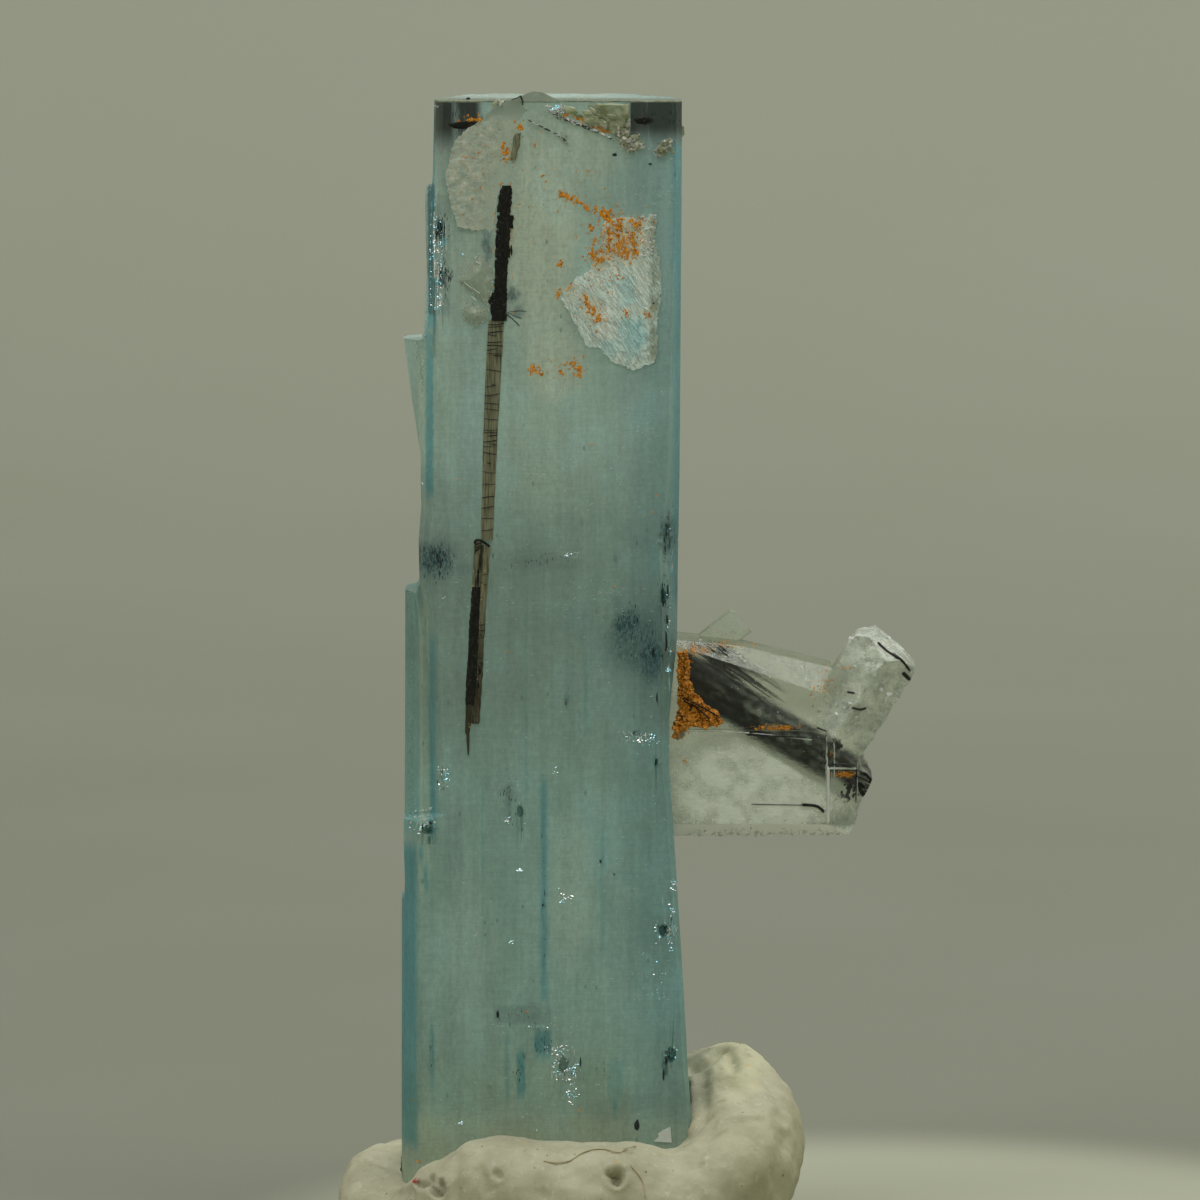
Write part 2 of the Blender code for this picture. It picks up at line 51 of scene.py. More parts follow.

# Lights: name, place, width and height, power, colour
LIGHTS = (
    ("overhead", (0, -40, 600), 420, 1.5, (1.0, 0.99, 0.96)),
    ("front_left", (-330, -240, 470), 260, 0.7, (1.0, 1.0, 1.0)),
    ("front_right", (330, -180, 480), 220, 0.5, (1.0, 1.0, 1.0)),
    ("back_right", (240, 260, 480), 220, 1.0, (1.0, 1.0, 1.0)),
)
GLINT_LIGHTS = 3  # the first lights, from which a broken spot can shine back to the viewer

# The aquamarine's faces
FRONT_Y = -3.4
CRYSTAL_TOP = 45.9
STRIPE_WIDTHS = (0.07, 0.26)
STRIPE_LEVELS = (
    1.7, 5.2, 7.0, 9.9, 13.1, 14.8, 16.3, 18.0, 19.4, 21.2, 22.7, 24.4, 27.0, 28.4, 29.8, 32.0, 33.8, 35.7,
    38.9, 41.7, 42.9, 44.6,
)
STRIPE_HEIGHT = 0.016
# How far the sides stand from the frame's own, to the right: height and shift
LEFT_SHIFTS = (
    (46.0, 0.06), (42.9, 0.08), (41.7, 0.0), (38.9, 0.1), (36.9, 0.0), (35.7, -0.08), (33.8, -0.16), (31.8, -0.2),
    (29.8, -0.17), (28.4, -0.3), (26.5, -0.3), (26.4, -0.08), (16.3, -0.06), (14.8, 0.0), (0.0, 0.0),
)
RIGHT_SHIFTS = (
    (46.0, -0.05), (30.8, -0.07), (24.4, -0.12), (22.7, -0.3), (21.2, -0.44), (19.4, -0.44), (18.0, -0.34),
    (16.3, -0.28), (13.1, -0.2), (9.9, -0.12), (7.0, -0.08), (5.2, 0.0), (0.0, 0.0),
)
# How far the tops of the left ledges drop: height and drop
LEDGE_DROPS = ((36.5, 0.2), (26.6, 0.33))
HOLLOW_DEPTH = 0.05  # of the long hollows at the top left, which are painted and filled with slivers

# Etched hollows in the front face: x, height, half width, half height, depth
PITS = (
    (-4.16, 40.7, 0.22, 0.7, 0.12), (-4.1, 38.8, 0.2, 0.7, 0.12), (4.86, 28.6, 0.3, 0.9, 0.2),
    (4.74, 26.2, 0.24, 0.7, 0.2), (4.8, 12.9, 0.36, 0.42, 0.16), (5.0, 7.8, 0.34, 0.5, 0.2),
    (4.7, 19.6, 0.3, 0.26, 0.3), (-4.62, 16.9, 0.34, 0.3, 0.4),
    (-1.0, 17.6, 0.2, 0.4, 0.2),
)
PIT_STEP = (0.045, 0.14)

# The aquamarine's tones, up the crystal and in its clouds; the upper tone is brighter partly as painted light, where
# more light falls on the top
BASE_TONE = (0.50, 0.67, 0.56)
LOW_TONE = (0.52, 0.735, 0.665)
MIDDLE_TONE = (0.44, 0.59, 0.515)
UPPER_TONE_AND_PAINTED_LIGHT = (0.72, 0.89, 0.795)
MILK_TONE = (0.78, 0.86, 0.69)
# painted light: the foot's tone stands in for the lit putty seen through the crystal
FOOT_PAINTED_LIGHT_TONE = (0.56, 0.66, 0.49)
INK = (0.03, 0.10, 0.115)
COAL = (0.012, 0.018, 0.016)
BLUE_TINT = (0.36, 0.74, 0.90)
RIGHT_TINT = (0.72, 0.87, 0.97)

# Milky clouds: x, height, half width, half height, strength
MILK_ZONES = (
    (-0.2, 40.5, 2.0, 6.6, 1.0), (1.4, 43.9, 2.4, 1.9, 0.6), (0.3, 35.6, 1.7, 2.2, 0.9),
    (-2.9, 39.0, 1.0, 2.8, 0.4), (1.0, 14.4, 1.1, 4.4, 0.35), (-0.3, 32.0, 3.0, 3.2, 0.2),
    (-3.0, 12.0, 1.5, 4.6, 0.2),
)

# Blue growth bands: left, right, low end, high end, strength
BLUE_BANDS = (
    (-4.66, -4.34, 36.8, 45.4, 1.0), (-4.74, -4.42, 30.2, 36.8, 0.9), (-4.56, -4.46, 7.2, 9.0, 0.8),
    (-5.02, -4.86, 15.6, 16.3, 0.8), (-4.82, -4.66, 14.4, 15.4, 0.9), (2.68, 2.86, 5.5, 5.95, 1.0),
    (-0.44, 0.20, 7.75, 8.75, 0.9), (-1.62, -1.46, 6.0, 8.6, 0.5), (-1.14, -0.82, 6.1, 8.0, 0.85),
    (2.5, 3.1, 6.0, 7.6, 0.4), (-4.64, -4.44, 6.4, 8.9, 0.5), 
    (-0.78, -0.72, 18.2, 25.5, 0.35), (1.55, 1.7, 20.5, 24.0, 0.3), (-2.55, -2.45, 12.0, 19.0, 0.3),
    (2.2, 2.34, 12.0, 17.2, 0.35),
)

# The same with blurred sides
BLURRED_BANDS = (
    (-4.64, -4.34, 16.7, 24.6, 0.85), (-5.9, -5.12, 4.0, 16.2, 1.0), (-0.18, 0.06, 10.0, 18.9, 0.85),
    (5.06, 5.6, 26.0, 44.2, 0.7),
)

# Dark smudges and one painted shadow: x, height, half width, half height, strength
DARK_ZONES = (
    (-4.5, 27.7, 1.7, 1.4, 0.95), (-4.4, 27.8, 0.95, 0.95, 1.0), (-3.2, 27.4, 1.1, 0.6, 0.45),
    (-4.2, 26.6, 1.0, 0.7, 0.35), (-4.8, 29.0, 0.5, 0.9, 0.4), (1.2, 25.0, 3.0, 1.3, 0.26),
    (-0.6, 24.9, 1.6, 0.8, 0.2), (-4.0, 7.6, 1.8, 1.7, 0.2), (-4.5, 39.6, 0.5, 2.2, 0.6),
    (-0.44, 27.64, 2.4, 0.7, 0.4), (-0.86, 27.5, 0.5, 0.6, 0.45), (0.72, 27.6, 0.6, 0.5, 0.45),
    (2.76, 27.76, 0.2, 0.2, 0.6), (1.44, 29.16, 0.18, 0.22, 0.5), (4.9, 28.7, 0.5, 1.5, 0.8),
    (4.0, 28.3, 0.7, 0.8, 0.3), (3.7, 24.4, 2.4, 2.2, 0.85), (3.3, 25.1, 1.2, 1.2, 1.0),
    (4.2, 23.8, 1.1, 1.8, 1.0), (2.9, 26.0, 0.5, 0.5, 0.4), (4.7, 25.4, 0.3, 1.5, 0.7),
    (0.84, 22.1, 0.18, 0.65, 0.7), (3.6, 20.84, 0.24, 0.2, 0.8), (-1.44, 18.2, 0.42, 1.3, 0.55),
    (-1.9, 9.4, 0.16, 0.42, 0.8), (-2.24, 6.44, 0.2, 0.18, 0.6), (4.8, 7.3, 0.26, 0.7, 0.8),
    (-1.3, 38.2, 0.4, 0.5, 0.85), (-1.1, 37.6, 0.4, 0.5, 0.7), (-4.1, 40.7, 0.34, 0.9, 1.0),
    # the zone at x -2.28, height 40.1 is painted shadow, cast by the upper needle to its left
    (-4.05, 38.9, 0.3, 0.8, 0.9), (-3.7, 38.9, 0.16, 0.3, 0.7), (-2.28, 40.1, 0.36, 1.3, 0.8), (-2.2, 41.9, 0.2, 0.5, 0.4), (-3.2, 6.6, 0.3, 0.35, 0.3),
    (2.2, 15.6, 0.12, 0.26, 0.6), (1.6, 43.0, 3.0, 1.6, 0.07), (4.86, 12.9, 0.34, 0.4, 0.5), (-0.1, 13.9, 0.1, 0.5, 0.6),
    (4.5, 22.0, 0.09, 0.35, 0.7), (1.1, 7.0, 0.9, 1.6, 0.2), (-0.5, 25.5, 0.5, 0.5, 0.3),
)

# Dark bands with straight sides: left, right, low end, high end, strength
DARK_BANDS = (
    (-5.9, -5.12, 3.4, 16.0, 0.2), (-4.66, -4.34, 37.4, 42.6, 0.85), (-4.34, -3.7, 37.4, 42.2, 0.36), (4.86, 5.25, 23.0, 28.0, 0.35),
    (-0.15, 0.05, 10.0, 18.9, 0.2), (-2.06, 0.2, 9.05, 9.82, 0.46), (-0.4, 0.26, 7.9, 8.8, 0.5), (-1.14, -0.84, 6.3, 7.9, 0.35),
    (-0.14, 0.04, 11.2, 11.9, 0.4),
)

# Fine dark slivers along the front face: x, height, half width, half height, count
SLIVER_CLOUDS = (
    (-4.3, 27.7, 0.8, 0.8, 260), (-4.2, 27.8, 0.4, 0.45, 110), (-0.44, 27.64, 1.7, 0.4, 50),
    (4.85, 28.7, 0.26, 1.2, 50), (3.3, 25.1, 0.8, 0.7, 130), (4.2, 23.8, 0.6, 0.9, 120),
    (4.8, 25.8, 0.14, 1.6, 44), (0.84, 22.1, 0.1, 0.45, 14), (-1.44, 18.2, 0.34, 1.04, 60),
    (-0.06, 14.4, 0.1, 4.2, 40), (-1.0, 9.4, 1.0, 0.3, 40), (-0.08, 8.3, 0.34, 0.5, 40),
    (-1.0, 7.2, 0.3, 0.9, 40), (4.8, 7.3, 0.16, 0.6, 50), (-4.08, 40.8, 0.24, 0.6, 150),
    (-4.05, 38.9, 0.22, 0.6, 110), (-3.75, 38.9, 0.14, 0.3, 50), (-3.5, 45.2, 0.8, 0.5, 90),
    (4.0, 45.2, 0.6, 0.36, 90), (5.0, 45.2, 0.4, 0.34, 60), (4.86, 12.9, 0.3, 0.36, 30),
    (0.9, 6.9, 0.5, 0.7, 40), (-4.55, 8.0, 0.08, 1.1, 20), (4.45, 22.2, 0.06, 0.35, 10),
    (3.6, 20.84, 0.16, 0.14, 14), (-4.1, 19.0, 0.2, 0.6, 24), (2.3, 7.2, 0.5, 0.6, 16),
)

# Single dark chips: x, height, half width, half height
DARK_CHIPS = (
    (3.66, 4.94, 0.13, 0.29), (1.4, 7.5, 0.04, 0.26), (4.8, 7.62, 0.1, 0.16), (4.72, 7.0, 0.05, 0.3),
    (4.3, 24.0, 0.06, 0.3), (4.8, 24.4, 0.08, 0.5), (4.86, 26.4, 0.07, 0.4), (4.83, 25.3, 0.08, 0.24),
    (-4.55, 17.2, 0.2, 0.1), (2.76, 43.77, 0.13, 0.09), (4.16, 43.4, 0.1, 0.06), (-3.0, 45.95, 0.13, 0.1),
    (4.3, 37.9, 0.04, 0.05), (-1.9, 9.45, 0.07, 0.2), (2.75, 15.1, 0.06, 0.05), (2.2, 15.62, 0.05, 0.1),
    (-0.1, 13.86, 0.05, 0.08), (4.44, 22.14, 0.04, 0.18),
)

# Bright broken spots: x, height, half width, half height, count
SPARKLES = (
    (0.4, 45.6, 0.34, 0.12, 40), (3.76, 20.52, 0.5, 0.2, 40), (4.32, 20.5, 0.45, 0.22, 30),
    (-4.04, 19.04, 0.28, 0.64, 50), (-1.48, 17.32, 0.12, 0.16, 14), (-1.04, 15.28, 0.16, 0.12, 14),
    (-1.36, 12.4, 0.12, 0.1, 8), (0.36, 19.28, 0.14, 0.14, 10), (0.8, 14.12, 0.26, 0.32, 26),
    (5.08, 14.68, 0.14, 0.3, 26), (5.04, 13.64, 0.14, 0.24, 18), (4.86, 23.36, 0.1, 0.2, 12),
    (4.84, 23.3, 0.1, 0.06, 12), (4.95, 28.96, 0.1, 0.16, 8), (0.4, 8.04, 0.5, 0.2, 30), (0.5, 7.5, 0.4, 0.6, 44),
    (1.1, 7.0, 0.3, 0.5, 60), (1.08, 6.16, 0.3, 0.3, 40), (-3.4, 5.08, 0.16, 0.06, 10),
    (-0.36, 4.76, 0.05, 0.05, 4), (5.05, 7.95, 0.26, 0.2, 34), (-4.28, 41.3, 0.08, 0.1, 8),
    (-4.28, 40.3, 0.2, 0.8, 26), (-4.12, 38.4, 0.2, 0.9, 26), (-4.36, 40.4, 0.025, 1.4, 60),
    (-4.1, 39.7, 0.025, 1.4, 50), (-4.24, 38.5, 0.03, 0.9, 40), (-4.5, 39.6, 0.03, 2.2, 30), (-4.2, 37.7, 0.2, 0.08, 14),
    (1.0, 27.92, 0.26, 0.06, 12), (3.16, 44.12, 0.1, 0.1, 10), (3.72, 44.12, 0.12, 0.1, 10),
    (4.88, 44.24, 0.12, 0.12, 12), (4.56, 12.8, 0.34, 0.36, 24), (5.0, 12.3, 0.14, 0.5, 16),
    (-4.28, 45.66, 0.16, 0.06, 12), (-0.4, 8.98, 0.4, 0.05, 10),
    (-3.2, 39.85, 0.05, 0.05, 4), (-2.7, 37.1, 0.16, 0.06, 12), (-4.9, 16.9, 0.4, 0.5, 20),
    (4.9, 25.6, 0.12, 1.9, 14), (4.6, 10.6, 0.6, 1.2, 14), (-4.86, 30.78, 0.05, 0.05, 4),
)

# Upright bright lines in the etched slits: x, height, half width, half height, count
BRIGHT_SLITS = (
    (-4.36, 40.2, 0.02, 1.2, 30), (-4.2, 39.4, 0.02, 1.4, 22), (-4.02, 39.8, 0.02, 1.3, 22),
    (-4.3, 38.8, 0.03, 1.0, 18), (-4.12, 38.0, 0.12, 0.3, 12), (-3.9, 40.4, 0.02, 0.7, 10), (4.95, 24.6, 0.06, 2.2, 18), (5.02, 27.8, 0.05, 0.9, 8),
    (0.6, 7.6, 0.6, 0.8, 14), (4.9, 13.2, 0.25, 0.9, 12), (-4.02, 18.8, 0.2, 0.6, 10),
)

# Fine pale wisps and scratches: x, height, half width, half height, count, slope in degrees
WISPS = (
    (4.2, 42.3, 1.1, 0.5, 46, 4), (4.1, 32.9, 0.3, 0.4, 10, 30), (0.9, 27.9, 0.5, 0.15, 10, -8),
    (0.5, 29.0, 4.5, 5.5, 60, 15), (0.0, 22.0, 4.2, 4.0, 40, 10), (0.0, 13.0, 4.6, 5.0, 40, 8),
    (3.6, 33.0, 0.8, 0.5, 60, 35), (2.3, 31.0, 1.6, 1.4, 70, 20), (1.1, 27.9, 0.35, 0.12, 30, -12),
    (-3.0, 26.3, 0.9, 0.6, 24, 10), (1.9, 26.2, 1.2, 0.8, 60, 25), (-0.4, 31.3, 0.5, 0.3, 24, -20),
    (2.6, 25.6, 1.6, 1.0, 40, -20), (-0.6, 26.0, 1.2, 0.7, 24, 10), (3.9, 31.6, 0.9, 1.2, 24, 40),
    (-1.9, 8.9, 0.4, 0.2, 10, -30), (0.6, 8.6, 0.7, 0.5, 16, 60), (-3.4, 5.1, 1.2, 0.3, 24, 5),
    (4.2, 11.0, 0.9, 1.4, 24, 40), (0.0, 6.4, 3.0, 1.2, 40, 5), (-3.4, 12.6, 1.0, 0.4, 12, 10),
    (-1.7, 31.9, 0.3, 0.1, 8, 10), (2.2, 34.0, 2.4, 1.0, 20, 12), (4.7, 20.0, 0.6, 3.0, 24, 80),
)

# Long bars set in the front face: height, left edge and right edge at each station
UPPER_BLACK = (
    ((42.55, -1.76, -1.42), (42.4, -1.82, -1.38), (41.9, -1.93, -1.40), (41.5, -1.97, -1.42)),
    ((41.38, -1.95, -1.33), (40.86, -1.98, -1.34)),
    ((40.82, -1.99, -1.44), (40.2, -2.0, -1.48), (39.7, -2.04, -1.45)),
    ((39.64, -2.05, -1.52), (39.0, -2.05, -1.58), (38.36, -2.1, -1.6)),
    ((38.33, -2.16, -1.58), (37.8, -2.19, -1.58), (37.2, -2.2, -1.6)),
)
UPPER_CORE = ((42.4, -1.71, -1.33), (40.0, -1.88, -1.44), (37.3, -2.06, -1.56))
UPPER_SMOKY = (
    (37.24, -2.22, -1.60), (36.0, -2.3, -1.68), (34.0, -2.4, -1.8), (33.0, -2.43, -1.86),
    (31.0, -2.48, -1.96), (28.5, -2.54, -2.06),
)
LOWER_OLIVE_LEFT = ((28.44, -2.80, -2.49), (26.5, -2.90, -2.56))
LOWER_BLACK = ((26.62, -2.90, -2.56), (24.9, -3.02, -2.60), (23.1, -3.12, -2.62), (22.3, -3.15, -2.70), (21.9, -3.16, -2.84))
LOWER_TIP = (
    (22.05, -3.14, -2.88), (21.2, -3.18, -2.94), (20.8, -3.19, -3.0), (20.7, -3.14, -3.0), (19.88, -3.08, -3.04),
)
LOWER_OLIVE_RIGHT = (
    (28.3, -2.5, -2.17), (26.5, -2.58, -2.29), (24.3, -2.70, -2.44), (23.1, -2.80, -2.48), (22.0, -2.88, -2.55),
    (21.16, -2.92, -2.62),
)
TOP_STUB = ((44.62, -1.16, -0.94), (44.2, -1.28, -0.98), (43.55, -1.36, -1.14))
NEEDLE_RISE = 0.09
SMOKY_CRACKS = (
    37.08, 36.98, 36.76, 36.64, 36.36, 36.22, 36.08, 35.9, 35.82, 35.24, 34.68, 34.62, 34.28, 33.92, 33.68,
    33.3, 32.88, 32.76, 32.64, 32.44, 32.3, 32.2, 31.96, 31.56, 31.2, 30.72, 30.2, 29.8, 29.36, 28.9,
)
OLIVE_CRACKS = (27.1, 26.8, 26.72, 26.2, 25.1, 24.9, 24.6, 23.8, 23.6, 23.5, 22.6)

# The thick schorl prism in the side crystals: distance along it and radius
SCHORL_FOOT = Vector((5.8, -0.4, 22.75))
SCHORL_AXIS = Vector((7.2, -0.4, -4.25)).normalized()
SCHORL_STATIONS = ((-0.62, 0.92), (2.0, 0.88), (4.0, 0.83), (6.2, 0.79), (10.5, 0.70))
SCHORL_END = 8.35
SCHORL_END_FACES = (((0.93, 0.05, -0.37), (0.0, 0.0, 0.0)), ((0.72, -0.1, 0.69), (0.05, 0.0, 0.3)))

# The whitish skin on the front face: it stands over the top edge as a glassy bulge
RIND_OUTLINE = (
    (-2.35, 40.82), (-2.64, 40.76), (-3.1, 40.86), (-3.44, 40.96), (-3.52, 41.25), (-3.66, 41.6),
    (-3.76, 42.1), (-3.86, 42.6), (-3.9, 43.0), (-3.78, 43.5), (-3.72, 43.84), (-3.46, 44.4),
    (-3.1, 44.72), (-2.72, 45.0), (-2.34, 45.36), (-1.9, 45.66), (-1.3, 45.98), (-1.0, 45.9),
    (-0.7, 45.5), (-1.1, 45.1), (-0.96, 44.7), (-1.36, 44.3), (-1.2, 43.8), (-1.5, 43.4), (-1.34, 43.0),
    (-1.7, 42.72), (-1.84, 42.3), (-1.94, 41.6), (-2.0, 40.9), (-2.2, 40.7),
)
RIND_THICK = 0.13
MICA_OUTLINE = (
    (3.92, 41.2), (4.24, 41.5), (4.4, 41.2), (4.34, 40.4), (4.5, 39.8), (4.6, 39.0), (4.56, 38.08),
    (4.44, 37.08), (4.42, 35.8), (4.3, 35.56), (3.44, 35.2), (3.1, 35.44), (2.72, 35.5), (2.52, 35.7),
    (2.2, 36.1), (1.64, 36.2), (1.48, 36.6), (1.1, 37.3), (0.62, 38.1), (0.9, 38.6), (1.5, 39.05),
    (2.0, 39.5), (2.3, 40.3), (2.3, 41.1), (3.0, 41.3),
)
BLOCK_OUTLINE = ((0.9, 45.5), (1.5, 45.64), (3.2, 45.6), (3.2, 44.9), (2.8, 44.6), (1.8, 45.0))
MICA_SLANT = 57.0  # how steeply its streaks run down to the right, in degrees

# Iron oxide strokes on the front face: places along each (x, height) and half width
IRON_STROKES = (
    (((0.54, 42.2), (0.78, 42.1), (1.14, 42.05)), 0.09), (((1.2, 42.0), (1.45, 41.84), (1.74, 41.62)), 0.05),
    (((2.0, 41.52), (2.3, 41.4), (2.52, 41.29), (2.7, 41.0)), 0.09), (((2.2, 41.5), (2.6, 41.52)), 0.06),
    (((2.88, 41.16), (3.32, 41.24), (3.6, 41.02)), 0.06), (((3.6, 40.9), (3.9, 41.2)), 0.1),
    (((2.54, 41.3), (2.5, 40.66), (2.56, 40.0)), 0.06), (((2.9, 41.1), (2.94, 40.6), (2.9, 40.2)), 0.09),
    (((3.42, 40.7), (3.5, 40.3), (3.54, 39.9)), 0.08), (((2.52, 40.68), (2.96, 40.6), (3.1, 40.3)), 0.05),
    (((2.42, 40.0), (3.05, 40.1), (3.5, 39.85), (3.9, 39.88)), 0.08), (((3.0, 39.9), (3.3, 39.7)), 0.1),
    (((1.8, 41.0), (1.9, 40.84)), 0.05), (((1.98, 40.44), (1.98, 40.1), (1.9, 39.75), (2.1, 39.6)), 0.1),
    (((2.2, 40.0), (2.3, 39.7), (2.1, 39.5)), 0.07), (((2.7, 40.2), (2.8, 39.9)), 0.08),
    (((1.64, 38.2), (1.62, 37.8), (1.8, 37.6)), 0.05), (((1.72, 37.7), (2.0, 37.5), (2.2, 37.4)), 0.11),
    (((1.9, 37.3), (2.16, 37.2)), 0.09), (((3.2, 37.6), (3.28, 37.4)), 0.05), (((4.0, 37.5), (4.1, 37.4)), 0.08),
    (((0.5, 38.3), (0.58, 38.1)), 0.06), (((1.0, 38.68), (0.98, 38.5)), 0.06), (((0.5, 39.46), (0.7, 39.4)), 0.06),
    (((-0.5, 35.4), (-0.42, 35.2)), 0.07), (((-0.3, 35.2), (-0.1, 35.1)), 0.05), (((0.8, 35.44), (1.1, 35.5)), 0.07),
    (((1.2, 35.5), (1.34, 35.3), (1.36, 34.96)), 0.08), (((0.6, 35.2), (0.68, 35.1)), 0.05),
    (((-1.0, 44.96), (-0.88, 44.7)), 0.06), (((-1.6, 44.2), (-1.5, 43.6)), 0.09), (((5.36, 28.6), (5.38, 26.0)), 0.02),
    (((5.36, 25.0), (5.34, 22.4)), 0.02), (((2.0, 44.9), (2.5, 44.62)), 0.05), (((0.74, 45.3), (0.9, 45.34)), 0.06),
    (((1.1, 45.3), (1.7, 45.1), (2.0, 44.85)), 0.05), (((-3.4, 45.12), (-2.5, 45.16)), 0.04),
    (((2.9, 38.95), (3.1, 38.9)), 0.05), (((2.0, 41.7), (2.06, 41.5)), 0.03),
)
IRON_SPECKS = (
    (-3.12, 43.68, 0.07), (-2.84, 43.64, 0.06), (-2.4, 43.0, 0.05), (-2.32, 44.12, 0.05), (-2.6, 43.84, 0.05),
    (-2.76, 42.32, 0.05), (-2.56, 42.48, 0.05), (-2.56, 41.16, 0.04), (-0.4, 44.16, 0.07), (-0.08, 42.92, 0.08),
    (0.04, 42.72, 0.06), (1.72, 43.12, 0.06), (2.36, 42.4, 0.05), (2.88, 41.76, 0.06), (1.24, 40.52, 0.06),
    (1.84, 32.28, 0.05), (4.4, 30.28, 0.06), (-3.44, 30.92, 0.04), (2.76, 26.64, 0.05), (-1.48, 24.04, 0.05),
    (-0.74, 9.56, 0.05), (1.36, 5.56, 0.06), (-5.3, 6.0, 0.05), (-5.08, 3.48, 0.07), (-1.72, 42.62, 0.07),
    (-1.36, 42.6, 0.06), (-1.34, 40.8, 0.05), (-1.4, 40.6, 0.05), (-1.42, 39.9, 0.05), (-2.36, 38.2, 0.06),
    (2.5, 42.1, 0.04), (3.5, 42.0, 0.03), (3.2, 43.4, 0.03), (4.3, 29.6, 0.05), (-1.0, 41.8, 0.04),
)

# Loose rusty dust: x, height, half width, half height, count
IRON_DUST = (
    (-1.98, 40.4, 0.10, 2.2, 130), (-1.32, 40.4, 0.10, 2.2, 150), (2.9, 40.4, 1.5, 1.4, 900), (0.6, 42.6, 2.2, 1.9, 300),
    (-3.1, 38.9, 0.3, 1.0, 90), (-2.2, 38.9, 0.2, 1.0, 40), (-2.9, 37.3, 0.5, 0.3, 40), (2.4, 38.6, 1.2, 1.6, 160),
    (-2.7, 43.4, 0.8, 1.2, 60), (1.6, 38.0, 0.9, 1.0, 90), (0.4, 35.4, 1.0, 0.4, 40), (-0.6, 41.0, 0.9, 1.6, 40),
    (2.0, 44.8, 1.6, 0.5, 80),
)

# Rusty crust between the aquamarine and the side crystals: its outline in x and height
CRUST_OUTLINE = (
    (5.28, 23.9), (5.6, 23.95), (5.78, 23.5), (5.72, 22.8), (5.95, 22.3), (6.4, 21.75), (6.9, 21.45),
    (7.1, 21.05), (6.5, 20.9), (5.7, 20.9), (5.5, 20.45), (5.15, 20.4), (5.1, 20.9), (5.3, 21.6), (5.3, 22.8),
)
CRUST_Y = -2.62

# Bright broken places in and on the clear crystals: x, height, half width, half height, count, size
CLEAR_GLINTS = (
    (8.9, 16.72, 3.3, 0.16, 460, 0.10), (12.0, 16.75, 0.4, 0.2, 20, 0.08), (13.2, 23.6, 1.3, 1.2, 230, 0.12),
    (12.2, 21.6, 1.0, 1.2, 230, 0.12), (12.6, 20.4, 0.9, 0.6, 70, 0.10), (14.1, 22.0, 0.5, 0.8, 110, 0.12), (13.3, 22.8, 1.1, 1.4, 90, 0.2), (12.3, 21.4, 0.7, 0.7, 50, 0.2),
    (10.7, 22.8, 0.6, 0.5, 50, 0.06), (6.6, 24.2, 0.9, 0.25, 40, 0.08),
    (9.0, 22.6, 2.2, 0.9, 40, 0.05), (8.6, 19.0, 2.6, 1.6, 60, 0.05), (10.9, 22.4, 0.5, 0.7, 40, 0.08),
    (11.0, 21.0, 0.5, 0.3, 24, 0.07), (12.1, 17.6, 0.5, 0.5, 26, 0.08), (7.4, 23.7, 1.0, 0.3, 24, 0.05),
)

# The putty's creases in the front view: places along each (x, height), width, depth
PUTTY_CREASES = (
    (((5.9, 7.2), (6.5, 7.55), (6.96, 7.95), (7.24, 8.0)), 0.24, 0.30),
    (((7.24, 8.0), (7.44, 7.6), (7.5, 7.2)), 0.22, 0.16), (((6.25, 6.9), (6.35, 5.9), (6.4, 5.1)), 0.3, 0.10),
    (((6.3, 4.3), (6.96, 4.8), (7.64, 5.15), (8.56, 5.2)), 0.26, 0.14),
    (((7.3, 6.6), (7.9, 6.2), (8.2, 5.6)), 0.5, 0.12), (((8.8, 7.0), (9.2, 6.2), (9.5, 5.2)), 0.3, 0.10),
    (((-4.57, 2.85), (-4.66, 2.55), (-4.5, 2.25), (-4.3, 2.12), (-4.16, 2.3), (-4.24, 2.65)), 0.11, 0.32),
    (((-5.2, 2.6), (-4.9, 2.5), (-4.57, 2.7)), 0.12, 0.26), (((-3.6, 3.5), (-3.68, 2.1)), 0.3, 0.10),
    (((-2.7, 3.1), (-2.3, 2.3)), 0.24, 0.10), (((-1.98, 3.0), (-1.9, 2.9)), 0.14, 0.22),
    (((2.6, 2.98), (2.86, 3.06), (3.0, 2.9), (2.9, 2.64), (2.74, 2.72), (2.84, 2.88)), 0.15, 0.55), (((0.6, 3.3), (1.6, 2.6)), 0.4, 0.08),
    (((3.6, 3.2), (4.6, 3.0), (5.6, 3.4)), 0.5, 0.08), (((-7.2, 2.6), (-6.3, 2.2), (-5.4, 2.2)), 0.3, 0.14),
    (((-0.6, 3.6), (-0.2, 2.2)), 0.3, 0.07), (((9.6, 4.4), (9.2, 3.2), (9.4, 2.2)), 0.35, 0.12),
    (((-6.9, 3.6), (-6.2, 3.3)), 0.24, 0.12),
)
PUTTY_VOXEL = 0.12
HUG_REACH = 0.6
# Where the putty's front roll stands higher or lower: x, half width, rise
PUTTY_ROLL = ((-2.2, 2.6, 0.42), (0.2, 1.8, 0.12), (5.4, 2.2, -0.62))
PUTTY_LEFT_DROP = 1.1
HAIRS = (
    ((-0.08, 3.5), (0.32, 3.42), (0.96, 3.5), (1.44, 3.8), (1.92, 3.96), (2.4, 3.96), (2.92, 3.84), (3.3, 3.96)),
    ((2.92, 3.86), (3.48, 3.24), (3.88, 2.68), (4.0, 2.0)), ((3.1, 3.94), (3.6, 4.1), (4.2, 4.2)),
)


